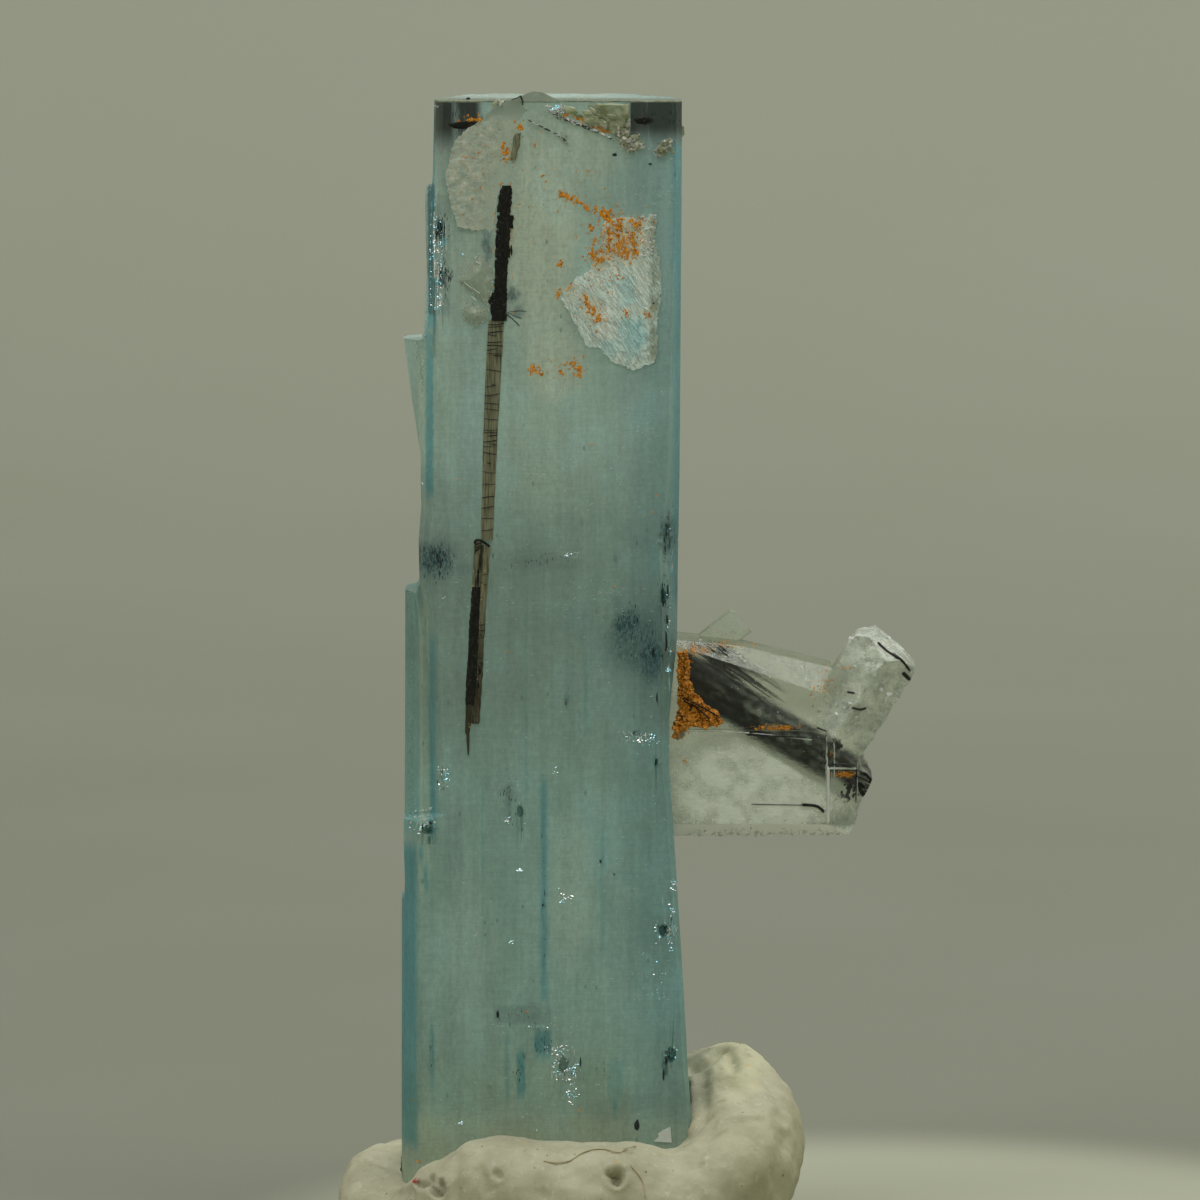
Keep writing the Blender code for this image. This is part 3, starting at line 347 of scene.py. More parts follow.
class Paint:
    """A material and its nodes. Each method adds nodes and gives back the socket that holds the result."""

    def __init__(self, name):
        self.material = bpy.data.materials.new(name)
        self.material.use_nodes = True
        self.tree = self.material.node_tree
        self.shader = self.tree.nodes["Principled BSDF"]
        metres = self.add("TexCoord").outputs["Object"]
        self.place = self.vector("MULTIPLY", metres, (1 / MM, 1 / MM, 1 / MM))

    def join(self, value, socket):
        if isinstance(value, bpy.types.NodeSocket):
            self.tree.links.new(value, socket)
        elif isinstance(value, tuple) and len(value) == 3 and socket.type == "RGBA":
            socket.default_value = (*value, 1)
        else:
            socket.default_value = value

    def add(self, kind, inputs=None, **settings):
        node = self.tree.nodes.new("ShaderNode" + kind)
        for name, value in settings.items():
            setattr(node, name, value)
        for key, value in (inputs or {}).items():
            self.join(value, node.inputs[key])
        return node

    def math(self, operation, a, b=0.0, clamp=False):
        return self.add("Math", {0: a, 1: b}, operation=operation, use_clamp=clamp).outputs[0]

    def vector(self, operation, a, b=(0, 0, 0), c=(0, 0, 0)):
        inputs = {0: a, 1: b, 2: c} if operation == "MULTIPLY_ADD" else {0: a, 1: b}
        return self.add("VectorMath", inputs, operation=operation).outputs[0]

    def dot(self, a, b):
        return self.add("VectorMath", {0: a, 1: b}, operation="DOT_PRODUCT").outputs["Value"]

    def axis(self, index, place=None):
        return self.add("SeparateXYZ", {0: place or self.place}).outputs[index]

    def span(self, value, low, high, to_low=0.0, to_high=1.0):
        """A smooth step of a value from one range to another."""
        inputs = {"Value": value, "From Min": low, "From Max": high, "To Min": to_low, "To Max": to_high}
        return self.add("MapRange", inputs, interpolation_type="SMOOTHSTEP").outputs[0]

    def mix(self, share, a, b):
        return self.add("Mix", {0: share, 6: a, 7: b}, data_type="RGBA").outputs[2]

    def tint(self, share, colour, factors):
        """The colour, times these factors where the share is 1."""
        return self.mix(share, colour, self.vector("MULTIPLY", colour, factors))

    def shade(self, colour, brightness):
        return self.add("VectorMath", {0: colour, "Scale": brightness}, operation="SCALE").outputs[0]

    def blend(self, share, a, b):
        return self.add("Mix", {0: share, 2: a, 3: b}, data_type="FLOAT").outputs[0]

    def turned(self, slope):
        """The place, turned so that its x axis runs down to the right by this many degrees."""
        inputs = {"Vector": self.place, "Angle": math.radians(-slope)}
        return self.add("VectorRotate", inputs, rotation_type="Y_AXIS").outputs[0]

    def noise(self, size, stretch=(1, 1, 1), detail=4.0, roughness=0.55, place=None):
        """Noise from 0 to 1 with features of this size in millimetres, longer along stretched axes."""
        scaled = self.vector("MULTIPLY", place or self.place, tuple(1 / s for s in stretch))
        inputs = {"Vector": scaled, "Scale": 1 / size, "Detail": detail, "Roughness": roughness}
        return self.add("TexNoise", inputs).outputs[0]

    def specks(self, size, radius, share, stretch=(1, 1, 1)):
        """1 in round spots of this radius: one in each cell of this size, in a share of the cells."""
        scaled = self.vector("MULTIPLY", self.place, tuple(1 / s for s in stretch))
        inputs = {"Vector": scaled, "Scale": 1 / size}
        cells = self.add("TexVoronoi", inputs, feature="F1")
        near = self.span(cells.outputs["Distance"], 1.25 * radius / size, 0.75 * radius / size)
        chosen = self.math("LESS_THAN", self.axis(0, cells.outputs["Color"]), share)
        return self.math("MULTIPLY", near, chosen)

    def warped(self, size, amount):
        """The place, pushed about by noise, for natural edges of painted zones."""
        inputs = {"Vector": self.place, "Scale": 1 / size, "Detail": 3.0}
        wobble = self.add("TexNoise", inputs).outputs["Color"]
        centred = self.vector("SUBTRACT", wobble, (0.5, 0.5, 0.5))
        return self.vector("MULTIPLY_ADD", centred, (amount, amount, amount), self.place)

    def zone(self, x, z, half_width, half_height, edge=0.7, place=None):
        """1 within an ellipse on the front view, falling to 0 at its edge."""
        scale = (1 / half_width, 0, 1 / half_height)
        shift = (-x / half_width, 0, -z / half_height)
        local = self.vector("MULTIPLY_ADD", place or self.place, scale, shift)
        distance = self.add("VectorMath", {0: local}, operation="LENGTH").outputs["Value"]
        return self.span(distance, 1, 1 - edge)

    def band(self, value, low, high, soft):
        """1 while a value is between two others, with soft sides."""
        rising = self.span(value, low - soft, low + soft)
        falling = self.span(value, high + soft, high - soft)
        return self.math("MULTIPLY", rising, falling)

    def strongest(self, masks):
        """The strongest of several masks, each with its own strength."""
        total = 0.0
        for mask, strength in masks:
            total = self.math("MAXIMUM", total, self.math("MULTIPLY", mask, strength))
        return total

    def zones(self, shapes, edge=0.7, place=None):
        return self.strongest([(self.zone(*shape[:4], edge, place), shape[4]) for shape in shapes])

    def strips(self, shapes, place, soft_side=0.05, soft_end=0.4):
        """Upright strips on the front view: left, right, low end, high end, strength."""
        x, z = self.axis(0, place), self.axis(2, place)
        masks = []
        for left, right, low, high, strength in shapes:
            across = self.band(x, left, right, soft_side)
            masks.append((self.math("MULTIPLY", across, self.band(z, low, high, soft_end)), strength))
        return self.strongest(masks)

    def bump(self, height, distance, strength=1.0):
        inputs = {"Height": height, "Distance": distance * MM, "Strength": strength}
        self.join(self.add("Bump", inputs).outputs[0], self.shader.inputs["Normal"])

    def finish(self, **inputs):
        for name, value in inputs.items():
            self.join(value, self.shader.inputs[name.replace("_", " ")])
        return self.material

    def absorb(self, colour, density):
        inputs = {"Color": colour, "Density": density}
        volume = self.add("VolumeAbsorption", inputs)
        self.tree.links.new(volume.outputs[0], self.tree.nodes["Material Output"].inputs["Volume"])


# Making meshes

def make_piece(name, bm, material, replaces=(), smooth=False):
    """A piece of the specimen from a bmesh in millimetres."""
    bmesh.ops.recalc_face_normals(bm, faces=bm.faces)
    bmesh.ops.triangulate(bm, faces=[face for face in bm.faces if len(face.verts) > 4])
    bmesh.ops.scale(bm, vec=(MM, MM, MM), verts=bm.verts)
    mesh = bpy.data.meshes.new(name)
    bm.to_mesh(mesh)
    bm.free()
    if smooth:
        mesh.shade_smooth()
    mesh.materials.append(material)
    obj = bpy.data.objects.new(name, mesh)
    bpy.context.scene.collection.objects.link(obj)
    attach(obj, "root")
    if replaces:
        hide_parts(*replaces)
    return obj


def copied_solid(node):
    """A bmesh in millimetres of a frame node's solid, its flat faces whole again."""
    bm = bmesh.new()
    bm.from_mesh(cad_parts[node].data)
    bmesh.ops.scale(bm, vec=(1 / MM, 1 / MM, 1 / MM), verts=bm.verts)
    bmesh.ops.remove_doubles(bm, verts=bm.verts, dist=1e-4)
    return bm


def loft(bm, rings):
    """Joins rings of points, each as long as the last, and caps both ends."""
    rows = [[bm.verts.new(point) for point in ring] for ring in rings]
    for above, below in zip(rows, rows[1:]):
        for i in range(len(above)):
            j = (i + 1) % len(above)
            bm.faces.new((above[i], above[j], below[j], below[i]))
    bm.faces.new(rows[0])
    bm.faces.new(reversed(rows[-1]))
    return rows


def hull(bm, places):
    """The convex solid round some places."""
    verts = [bm.verts.new(place) for place in places]
    result = bmesh.ops.convex_hull(bm, input=verts)
    unused = [v for v in result["geom_interior"] + result["geom_unused"] if isinstance(v, bmesh.types.BMVert)]
    bmesh.ops.delete(bm, geom=list(set(unused)), context="VERTS")


def slice_up(bm, axis, places):
    """Cuts every face along the planes that cross an axis at these places."""
    normal = Vector((0, 0, 0))
    normal[axis] = 1
    for place in places:
        geometry = bm.verts[:] + bm.edges[:] + bm.faces[:]
        bmesh.ops.bisect_plane(bm, geom=geometry, dist=1e-5, plane_co=normal * place, plane_no=normal)


def cut_off(bm, point, normal):
    """Cuts the mesh with a plane, drops what is outside and closes the cut."""
    geometry = bm.verts[:] + bm.edges[:] + bm.faces[:]
    bmesh.ops.bisect_plane(
        bm, geom=geometry, dist=1e-5, plane_co=point, plane_no=normal, clear_outer=True
    )
    bmesh.ops.holes_fill(bm, edges=[edge for edge in bm.edges if edge.is_boundary])


def grid(low, high, step, rng=None):
    """Places from low to high, evenly apart or each a random share of the step off."""
    count = max(1, round((high - low) / step))
    places = [low + (high - low) * i / count for i in range(1, count)]
    return [place + (rng.uniform(-0.35, 0.35) * step if rng else 0) for place in places]


def random_turn(rng):
    axis = Vector((rng.gauss(0, 1), rng.gauss(0, 1), rng.gauss(0, 1))).normalized()
    return Matrix.Rotation(rng.uniform(0, math.tau), 3, axis)


def spread(i, count, turn=0.0):
    """The i-th of some points spread evenly over a ball of radius 1."""
    height = 1 - 2 * (i + 0.5) / count
    flat = math.sqrt(1 - height * height)
    angle = 2.4 * i + turn
    return Vector((math.cos(angle) * flat, math.sin(angle) * flat, height))


@functools.cache
def hull_faces(count):
    """Which of the spread points make up each face of their hull."""
    bm = bmesh.new()
    hull(bm, [spread(i, count) for i in range(count)])
    bm.verts.index_update()
    faces = [[vert.index for vert in face.verts] for face in bm.faces]
    bm.free()
    return faces


@functools.cache
def ball_mesh(detail):
    """The points and faces of a round ball of radius 1."""
    bm = bmesh.new()
    bmesh.ops.create_icosphere(bm, subdivisions=detail, radius=1.0)
    bm.verts.index_update()
    points = [vert.co.copy() for vert in bm.verts]
    faces = [[vert.index for vert in face.verts] for face in bm.faces]
    bm.free()
    return points, faces


def add_faces(bm, points, faces):
    verts = [bm.verts.new(point) for point in points]
    for face in faces:
        bm.faces.new([verts[i] for i in face])


def shard(bm, centre, radii, rng, points=9, turn=None):
    """A small angular fragment: a hull of points scattered on an ellipsoid."""
    turn = turn or Matrix.Identity(3)
    centre = Vector(centre)
    places = []
    for i in range(points):
        unit = spread(i, points, rng.uniform(-0.3, 0.3))
        spot = Vector([u * r * rng.uniform(0.8, 1.0) for u, r in zip(unit, radii)])
        places.append(centre + turn @ spot)
    add_faces(bm, places, hull_faces(points))


def leaning(slope):
    """The turn of a piece that lies on the front face, down to the right by this many degrees."""
    return Matrix.Rotation(math.radians(slope), 3, "Y")


def glint(bm, spot, size, stretch, rng):
    """A thin flake, turned so that one of the studio's lights shines back from it to the viewer."""
    light = Vector(rng.choice(LIGHTS[:GLINT_LIGHTS])[1])
    facing = (VIEW_BACK + (light - spot).normalized()).normalized()
    facing += Vector((rng.gauss(0, 0.06), 0, rng.gauss(0, 0.06)))
    turn = Vector((0, -1, 0)).rotation_difference(facing).to_matrix()
    twist = Matrix.Rotation(rng.uniform(0, math.tau), 3, "Y")
    shard(bm, spot, (size, size * 0.14, size * stretch), rng, 8, turn @ twist)


def lump(bm, centre, radii, rng, detail=2, rough=0.25, size=0.6):
    """A rounded grain with a knobbly surface."""
    points, faces = ball_mesh(detail)
    offset = Vector((rng.uniform(0, 50), rng.uniform(0, 50), rng.uniform(0, 50)))
    places = []
    for point in points:
        swell = 1 + rough * noise.fractal(point / size + offset, 0.6, 2.0, 3)
        places.append(Vector(centre) + Vector([c * swell * r for c, r in zip(point, radii)]))
    add_faces(bm, places, faces)


def rod(bm, start, end, radius, sides=5, tip=0.0, rng=None):
    """A thin prism from one point to another, its ends tapered over a share of its length."""
    start, end = Vector(start), Vector(end)
    axis = (end - start).normalized()
    side = axis.orthogonal().normalized()
    other = axis.cross(side)
    shares = ((0.0, 0.12), (tip, 1.0), (1 - tip, 1.0), (1.0, 0.12)) if tip else ((0.0, 1.0), (1.0, 1.0))
    phase = rng.uniform(0, 6) if rng else 0.0
    rings = []
    for share, scale in shares:
        centre = start.lerp(end, share)
        angles = [phase + math.tau * i / sides for i in range(sides)]
        rings.append([
            centre + (side * math.cos(a) + other * math.sin(a)) * radius * scale for a in angles
        ])
    loft(bm, rings)


def curve_through(path, steps=6):
    """Points along a smooth curve through some places."""
    points = []
    padded = [path[0], *path, path[-1]]
    for before, start, end, after in zip(padded, padded[1:], padded[2:], padded[3:]):
        a, b, c, d = (Vector(p) for p in (before, start, end, after))
        for step in range(steps):
            t = step / steps
            points.append(
                0.5 * (2 * b + (c - a) * t + (2 * a - 5 * b + 4 * c - d) * t * t
                       + (3 * b - a - 3 * c + d) * t ** 3)
            )
    return [*points, Vector(path[-1])]


def tube(bm, points, radius, sides=6):
    """A round thread along some points."""
    rings = []
    for i, point in enumerate(points):
        along = (points[min(i + 1, len(points) - 1)] - points[max(i - 1, 0)]).normalized()
        across = along.cross(Vector((0, 1, 0))).normalized()
        up = across.cross(along).normalized()
        taper = 0.5 if i in (0, len(points) - 1) else 1.0
        rings.append([
            point + (across * math.cos(math.tau * k / sides) + up * math.sin(math.tau * k / sides))
            * radius * taper for k in range(sides)
        ])
    loft(bm, rings)


def surface_of(*objects):
    """The faces of some pieces, for placing others on them."""
    verts, faces = [], []
    for obj in objects:
        first = len(verts)
        verts += [vert.co / MM for vert in obj.data.vertices]
        faces += [[first + i for i in face.vertices] for face in obj.data.polygons]
    return BVHTree.FromPolygons(verts, faces)


def seen_on(surface, x, z):
    """Where the photograph's view through a place on the front plane meets a surface, if it does."""
    eye = VIEW_TARGET + VIEW_BACK * VIEW_DISTANCE
    ray = (Vector((x, FRONT_Y, z)) - eye).normalized()
    return surface.ray_cast(eye, ray)[0]


def scattered(surface, zone, count, rng, spread="even"):
    """Places on a surface, evenly or loosely scattered over a zone of the front view."""
    x, z, half_width, half_height = zone
    places = []
    for _ in range(count):
        if spread == "even":
            across, up = rng.uniform(-1, 1), rng.uniform(-1, 1)
        else:
            across = max(-1.3, min(1.3, rng.gauss(0, 0.5)))
            up = max(-1.3, min(1.3, rng.gauss(0, 0.5)))
        spot = seen_on(surface, x + across * half_width, z + up * half_height)
        if spot:
            places.append(spot)
    return places


def flat_plate(bm, outline, front, back):
    """A plate that stands upright: an outline of x and height, between two depths."""
    loft(bm, [[(x, front, z) for x, z in outline], [(x, back, z) for x, z in outline]])


def ragged(outline, step, amount, rng):
    """An outline with more points, each a little off its side."""
    result = []
    for start, end in zip(outline, (*outline[1:], outline[0])):
        start, end = Vector(start), Vector(end)
        count = max(1, round((end - start).length / step))
        for i in range(count):
            spot = start.lerp(end, i / count)
            result.append((spot.x + rng.uniform(-amount, amount), spot.y + rng.uniform(-amount, amount)))
    return result


def inside_outline(outline, x, z):
    inside = False
    for (x0, z0), (x1, z1) in zip(outline, (*outline[1:], outline[0])):
        if (z0 > z) != (z1 > z) and x < x0 + (x1 - x0) * (z - z0) / (z1 - z0):
            inside = not inside
    return inside


def scattered_inside(outline, count, rng):
    """Places of x and height inside an outline."""
    low_x, high_x = min(x for x, _ in outline), max(x for x, _ in outline)
    low_z, high_z = min(z for _, z in outline), max(z for _, z in outline)
    places = []
    while len(places) < count:
        x, z = rng.uniform(low_x, high_x), rng.uniform(low_z, high_z)
        if inside_outline(outline, x, z):
            places.append((x, z))
    return places


# Materials

def aquamarine_material():
    """Clear to hazy blue-green: haze and tone vary in clouds, streaks and bands along the crystal."""
    paint = Paint("aquamarine")
    far = paint.warped(1.8, 1.0)
    near = paint.warped(0.4, 0.16)
    streaks = paint.noise(0.42, stretch=(1, 1, 14), detail=4.0, roughness=0.65)
    mottle = paint.noise(0.17, stretch=(1, 1, 1.8), detail=4.0, roughness=0.78)
    cloud = paint.noise(2.2, stretch=(1, 1, 1.5), detail=4.0)
    height = paint.axis(2, far)
    milk = paint.zones(MILK_ZONES, edge=0.6, place=far)
    colour = paint.mix(paint.span(height, 6.5, 9.5), BASE_TONE, LOW_TONE)
    colour = paint.mix(paint.span(height, 17.0, 23.0), colour, MIDDLE_TONE)
    # painted light: the upper crystal is painted brighter, as more light falls towards its top
    colour = paint.mix(paint.span(height, 26.0, 35.0), colour, UPPER_TONE_AND_PAINTED_LIGHT)
    colour = paint.mix(paint.math("MULTIPLY", milk, 0.75), colour, MILK_TONE)
    # painted light: the foot is painted a pale cream and made less clear, in place of the lit putty seen through it
    painted_light_foot = paint.span(paint.axis(2, paint.warped(1.2, 1.0)), 6.0, 4.6)
    colour = paint.mix(paint.math("MULTIPLY", painted_light_foot, 0.8), colour, FOOT_PAINTED_LIGHT_TONE)
    right = paint.span(paint.axis(0, far), 1.8, 4.9)
    colour = paint.tint(paint.math("MULTIPLY", right, 0.75), colour, RIGHT_TINT)
    on_front = paint.span(paint.axis(1), 1.0, -0.6)
    blue = paint.math("MAXIMUM", paint.strips(BLUE_BANDS, near), paint.strips(BLURRED_BANDS, near, soft_side=0.16))
    blue = paint.math("MULTIPLY", blue, paint.span(paint.axis(1), 3.0, -2.4))
    colour = paint.tint(blue, colour, BLUE_TINT)
    colour = paint.tint(paint.span(cloud, 0.5, 0.66), colour, (0.93, 1.0, 1.05))
    colour = paint.shade(colour, paint.span(streaks, 0.3, 0.7, 1.07, 0.93))
    colour = paint.shade(colour, paint.span(cloud, 0.3, 0.7, 0.94, 1.06))
    across = paint.noise(0.09, stretch=(11, 1, 1), detail=4.0, roughness=0.7)
    colour = paint.shade(colour, paint.span(across, 0.3, 0.7, 0.95, 1.05))
    contrast = paint.blend(milk, 0.10, 0.15)
    spread_out = paint.math("MULTIPLY", paint.span(mottle, 0.3, 0.7, -1.0, 1.0), contrast)
    colour = paint.shade(colour, paint.math("ADD", 1.0, spread_out))
    # painted light: the left ledge's facets, which face away to the left, are painted brighter
    painted_light_side = paint.strips(((-5.05, -4.62, 14.0, 25.8, 1.0), (-5.05, -4.66, 31.5, 36.0, 0.8)), near)
    colour = paint.tint(painted_light_side, colour, (1.30, 1.20, 1.14))
    # painted shade: the left ledge's side face is painted darker, and bluer as well
    ledge_painted_shade = paint.math("MULTIPLY", paint.span(paint.axis(0), -4.98, -5.06), paint.band(paint.axis(2), 16.7, 27.0, 0.2))
    colour = paint.tint(ledge_painted_shade, colour, (0.72, 0.92, 0.95))
    stained = paint.math("MULTIPLY", milk, paint.span(paint.axis(2), 33.0, 36.0))
    yellow = paint.math("MULTIPLY", stained, paint.span(mottle, 0.56, 0.72))
    colour = paint.mix(paint.math("MULTIPLY", yellow, 0.35), colour, (0.62, 0.52, 0.22))
    pale = paint.math("MULTIPLY", paint.specks(0.3, 0.04, 0.5), paint.span(cloud, 0.5, 0.62))
    colour = paint.mix(paint.math("MULTIPLY", pale, 0.6), colour, (0.95, 1.0, 0.92))
    deep = paint.specks(0.5, 0.05, 0.3, stretch=(1, 1, 2.0))
    colour = paint.mix(paint.math("MULTIPLY", deep, 0.5), colour, (0.16, 0.28, 0.27))
    # dark clouds, and a painted shadow beside the upper needle
    smudges_and_shadow = paint.zones(DARK_ZONES, edge=0.8, place=paint.warped(0.5, 0.5))
    smudges_and_shadow = paint.math("MAXIMUM", smudges_and_shadow, paint.strips(DARK_BANDS, near, soft_end=0.08))
    grain = paint.span(paint.noise(0.09, stretch=(1, 1, 2.2), detail=4.0, roughness=0.7), 0.36, 0.56, 0.62, 1.0)
    smudges_and_shadow = paint.math("MULTIPLY", paint.math("MULTIPLY", smudges_and_shadow, grain), on_front)
    corners = dark_tops(paint, streaks)
    colour = paint.mix(smudges_and_shadow, colour, INK)
    colour = paint.mix(corners, colour, COAL)
    dark = paint.math("MAXIMUM", smudges_and_shadow, corners)
    top = paint.span(paint.axis(2), CRYSTAL_TOP - 0.09, CRYSTAL_TOP - 0.05)
    top = paint.math("MULTIPLY", top, paint.span(paint.axis(1), 0.4, -2.8, 0.2, 1.0))
    colour = paint.mix(top, colour, paint.mix(paint.span(mottle, 0.4, 0.6), (0.20, 0.23, 0.15), (0.36, 0.40, 0.29)))
    clear = paint.span(cloud, 0.2, 0.8, 0.58, 0.46)
    clear = paint.blend(milk, clear, 0.34)
    clear = paint.blend(painted_light_foot, clear, 0.36)
    clear = paint.blend(dark, clear, 0.05)
    rough = paint.span(mottle, 0.3, 0.7, 0.14, 0.26)
    rough = paint.blend(paint.span(paint.axis(1), -2.4, 0.5), rough, 0.6)
    relief = paint.math("ADD", streaks, paint.math("MULTIPLY", mottle, 0.6))
    paint.bump(relief, 0.04, 0.5)
    paint.absorb((0.1, 0.68, 0.77), 85.0)
    return paint.finish(Base_Color=colour, Transmission_Weight=clear, Roughness=rough, IOR=1.575)


def dark_tops(paint, streaks):
    """The dark corners at the top of the front face, streaked upright."""
    x, y, z = paint.axis(0), paint.axis(1), paint.axis(2)
    left = paint.math("MULTIPLY", paint.band(x, -4.7, -2.5, 0.25), paint.span(z, 43.0, 44.9, 0.0, 0.97))
    right = paint.math("MULTIPLY", paint.band(x, 3.36, 5.7, 0.06), paint.span(z, 43.7, 44.9, 0.0, 0.95))
    black = paint.zones(((4.0, 45.1, 0.8, 0.45, 1.0), (5.0, 45.4, 0.8, 0.6, 0.9), (-3.2, 45.5, 1.0, 0.5, 0.95)))
    corners = paint.math("MAXIMUM", paint.math("MAXIMUM", left, right), black)
    corners = paint.math("MULTIPLY", corners, paint.span(y, -2.2, -3.0))
    return paint.math("MULTIPLY", corners, paint.span(streaks, 0.25, 0.5, 0.72, 1.0))


def glass_material():
    """Colourless crystal with thin whitish veils."""
    paint = Paint("clear_glass")
    veil = paint.span(paint.noise(0.22, stretch=(1, 1, 2), detail=6.0, roughness=0.7), 0.50, 0.72)
    colour = paint.mix(veil, (0.84, 0.92, 0.76), (1.0, 1.0, 0.90))
    paint.bump(paint.noise(0.2, detail=3.0), 0.03, 0.3)
    clear = paint.blend(veil, 0.72, 0.45)
    return paint.finish(
        Base_Color=colour, Transmission_Weight=clear, Roughness=0.14, IOR=1.545, Specular_IOR_Level=0.3
    )


def cluster_material():
    """The side crystals: clear in front of the schorl, hazy and bright elsewhere."""
    paint = Paint("clear_crystal")
    near = paint.warped(0.5, 0.3)
    cloud = paint.noise(0.9, detail=6.0, roughness=0.7)
    fine = paint.noise(0.13, stretch=(2, 1, 1), detail=5.0, roughness=0.75)
    across = Vector((-SCHORL_AXIS.z, 0, SCHORL_AXIS.x)).normalized()
    off_axis = paint.math("SUBTRACT", paint.dot(near, tuple(across)), across.dot(SCHORL_FOOT))
    window = paint.math("MULTIPLY", paint.band(off_axis, -0.95, 0.95, 0.12), paint.span(paint.axis(0), 12.8, 12.2))
    haze = paint.zones(
        (
            (9.0, 16.6, 4.6, 0.5, 1.0), (13.0, 23.4, 2.2, 2.2, 0.36), (12.2, 20.8, 1.2, 1.2, 0.34),
            (7.4, 25.0, 1.4, 0.9, 1.0), (8.2, 18.4, 4.6, 2.4, 0.62),
        ),
        edge=0.5, place=near,
    )
    haze = paint.math("MULTIPLY", haze, paint.span(cloud, 0.36, 0.62, 0.62, 1.0))
    haze = paint.math("ADD", haze, paint.span(cloud, 0.4, 0.7, 0.10, 0.30))
    haze = paint.math("ADD", haze, paint.span(fine, 0.5, 0.72, 0.0, 0.22))
    upper = paint.zone(8.8, 22.9, 4.2, 1.9, 0.4, near)
    window = paint.math("MAXIMUM", window, paint.math("MULTIPLY", upper, 0.85))
    haze = paint.math("MULTIPLY", haze, paint.math("SUBTRACT", 1.0, window))
    facing = paint.add("NewGeometry").outputs["Normal"]
    sloping = paint.math("MULTIPLY", paint.span(paint.axis(2, facing), 0.3, 0.5), paint.span(paint.axis(0), 12.2, 11.6))
    haze = paint.math("MAXIMUM", haze, paint.math("MULTIPLY", sloping, paint.span(cloud, 0.4, 0.6, 0.25, 0.45)))
    under = paint.math("MULTIPLY", paint.span(paint.axis(2, facing), -0.2, -0.5), paint.span(paint.axis(2), 17.4, 17.0))
    haze = paint.math("MAXIMUM", haze, paint.math("MULTIPLY", under, 0.8))
    bright = paint.span(fine, 0.45, 0.7)
    colour = paint.mix(bright, (0.93, 1.0, 0.86), (1.0, 1.0, 0.95))
    colour = paint.mix(sloping, colour, paint.mix(paint.span(fine, 0.55, 0.7), (0.40, 0.45, 0.31), (0.50, 0.55, 0.41)))
    colour = paint.mix(under, colour, (1.0, 1.0, 0.96))
    paint.bump(paint.math("ADD", cloud, fine), 0.05, 0.5)
    clear = paint.math("SUBTRACT", 1.0, paint.math("MINIMUM", haze, 0.8))
    rough = paint.span(haze, 0.1, 0.6, 0.01, 0.3)
    paint.absorb((0.75, 0.86, 0.80), 12.0)
    return paint.finish(
        Base_Color=colour, Transmission_Weight=clear, Roughness=rough, IOR=1.545, Specular_IOR_Level=0.25
    )


def sparkle_material():
    paint = Paint("broken_spots")
    colour = paint.mix(paint.span(paint.noise(0.25), 0.46, 0.54), (0.42, 0.82, 0.95), (1.0, 1.0, 0.97))
    return paint.finish(Base_Color=colour, Roughness=0.22, Metallic=0.6)


def chip_material():
    """Pale crumbs and wisps: broken crystal that looks white."""
    paint = Paint("pale_chips")
    colour = paint.mix(paint.noise(0.2, detail=3.0), (0.72, 0.84, 0.76), (1.0, 1.0, 0.95))
    return paint.finish(Base_Color=colour, Roughness=0.3, Transmission_Weight=0.25, IOR=1.55)


def schorl_material():
    paint = Paint("schorl")
    ribs = paint.noise(0.07, stretch=(1, 1, 12), detail=4.0)
    dust = paint.noise(0.14, detail=5.0, roughness=0.75)
    brown = paint.span(paint.noise(0.35, stretch=(1, 1, 2), detail=5.0, roughness=0.7), 0.58, 0.72)
    colour = paint.mix(paint.span(ribs, 0.4, 0.7), (0.003, 0.003, 0.003), (0.014, 0.014, 0.011))
    colour = paint.mix(paint.span(dust, 0.52, 0.70, 0.0, 0.7), colour, (0.085, 0.09, 0.07))
    colour = paint.mix(paint.math("MULTIPLY", brown, 0.5), colour, (0.05, 0.038, 0.015))
    paint.bump(paint.math("ADD", ribs, dust), 0.025, 0.5)
    rough = paint.span(paint.noise(0.4), 0.3, 0.7, 0.2, 0.42)
    return paint.finish(Base_Color=colour, Roughness=rough, IOR=1.5, Specular_IOR_Level=0.3)


def schorl_prism_material():
    """The thick prism: black, with pale streaks along it where the crystal before it is cracked."""
    paint = Paint("schorl_prism")
    along = paint.turned(math.degrees(math.atan2(-SCHORL_AXIS.z, SCHORL_AXIS.x)))
    streaks = paint.noise(0.2, stretch=(4, 1, 1), detail=6.0, roughness=0.75, place=along)
    patches = paint.noise(0.8, stretch=(2, 1, 1), detail=5.0, roughness=0.7, place=along)
    pale = paint.math("MULTIPLY", paint.span(streaks, 0.5, 0.6), paint.span(patches, 0.42, 0.58, 0.25, 1.0))
    pale = paint.math("MULTIPLY", pale, paint.span(paint.axis(0), 6.0, 8.6, 0.2, 1.0))
    colour = paint.mix(paint.math("MULTIPLY", pale, 0.9), (0.003, 0.003, 0.003), (0.70, 0.76, 0.66))
    paint.bump(streaks, 0.03, 0.5)
    return paint.finish(Base_Color=colour, Roughness=0.3, IOR=1.5, Specular_IOR_Level=0.3)


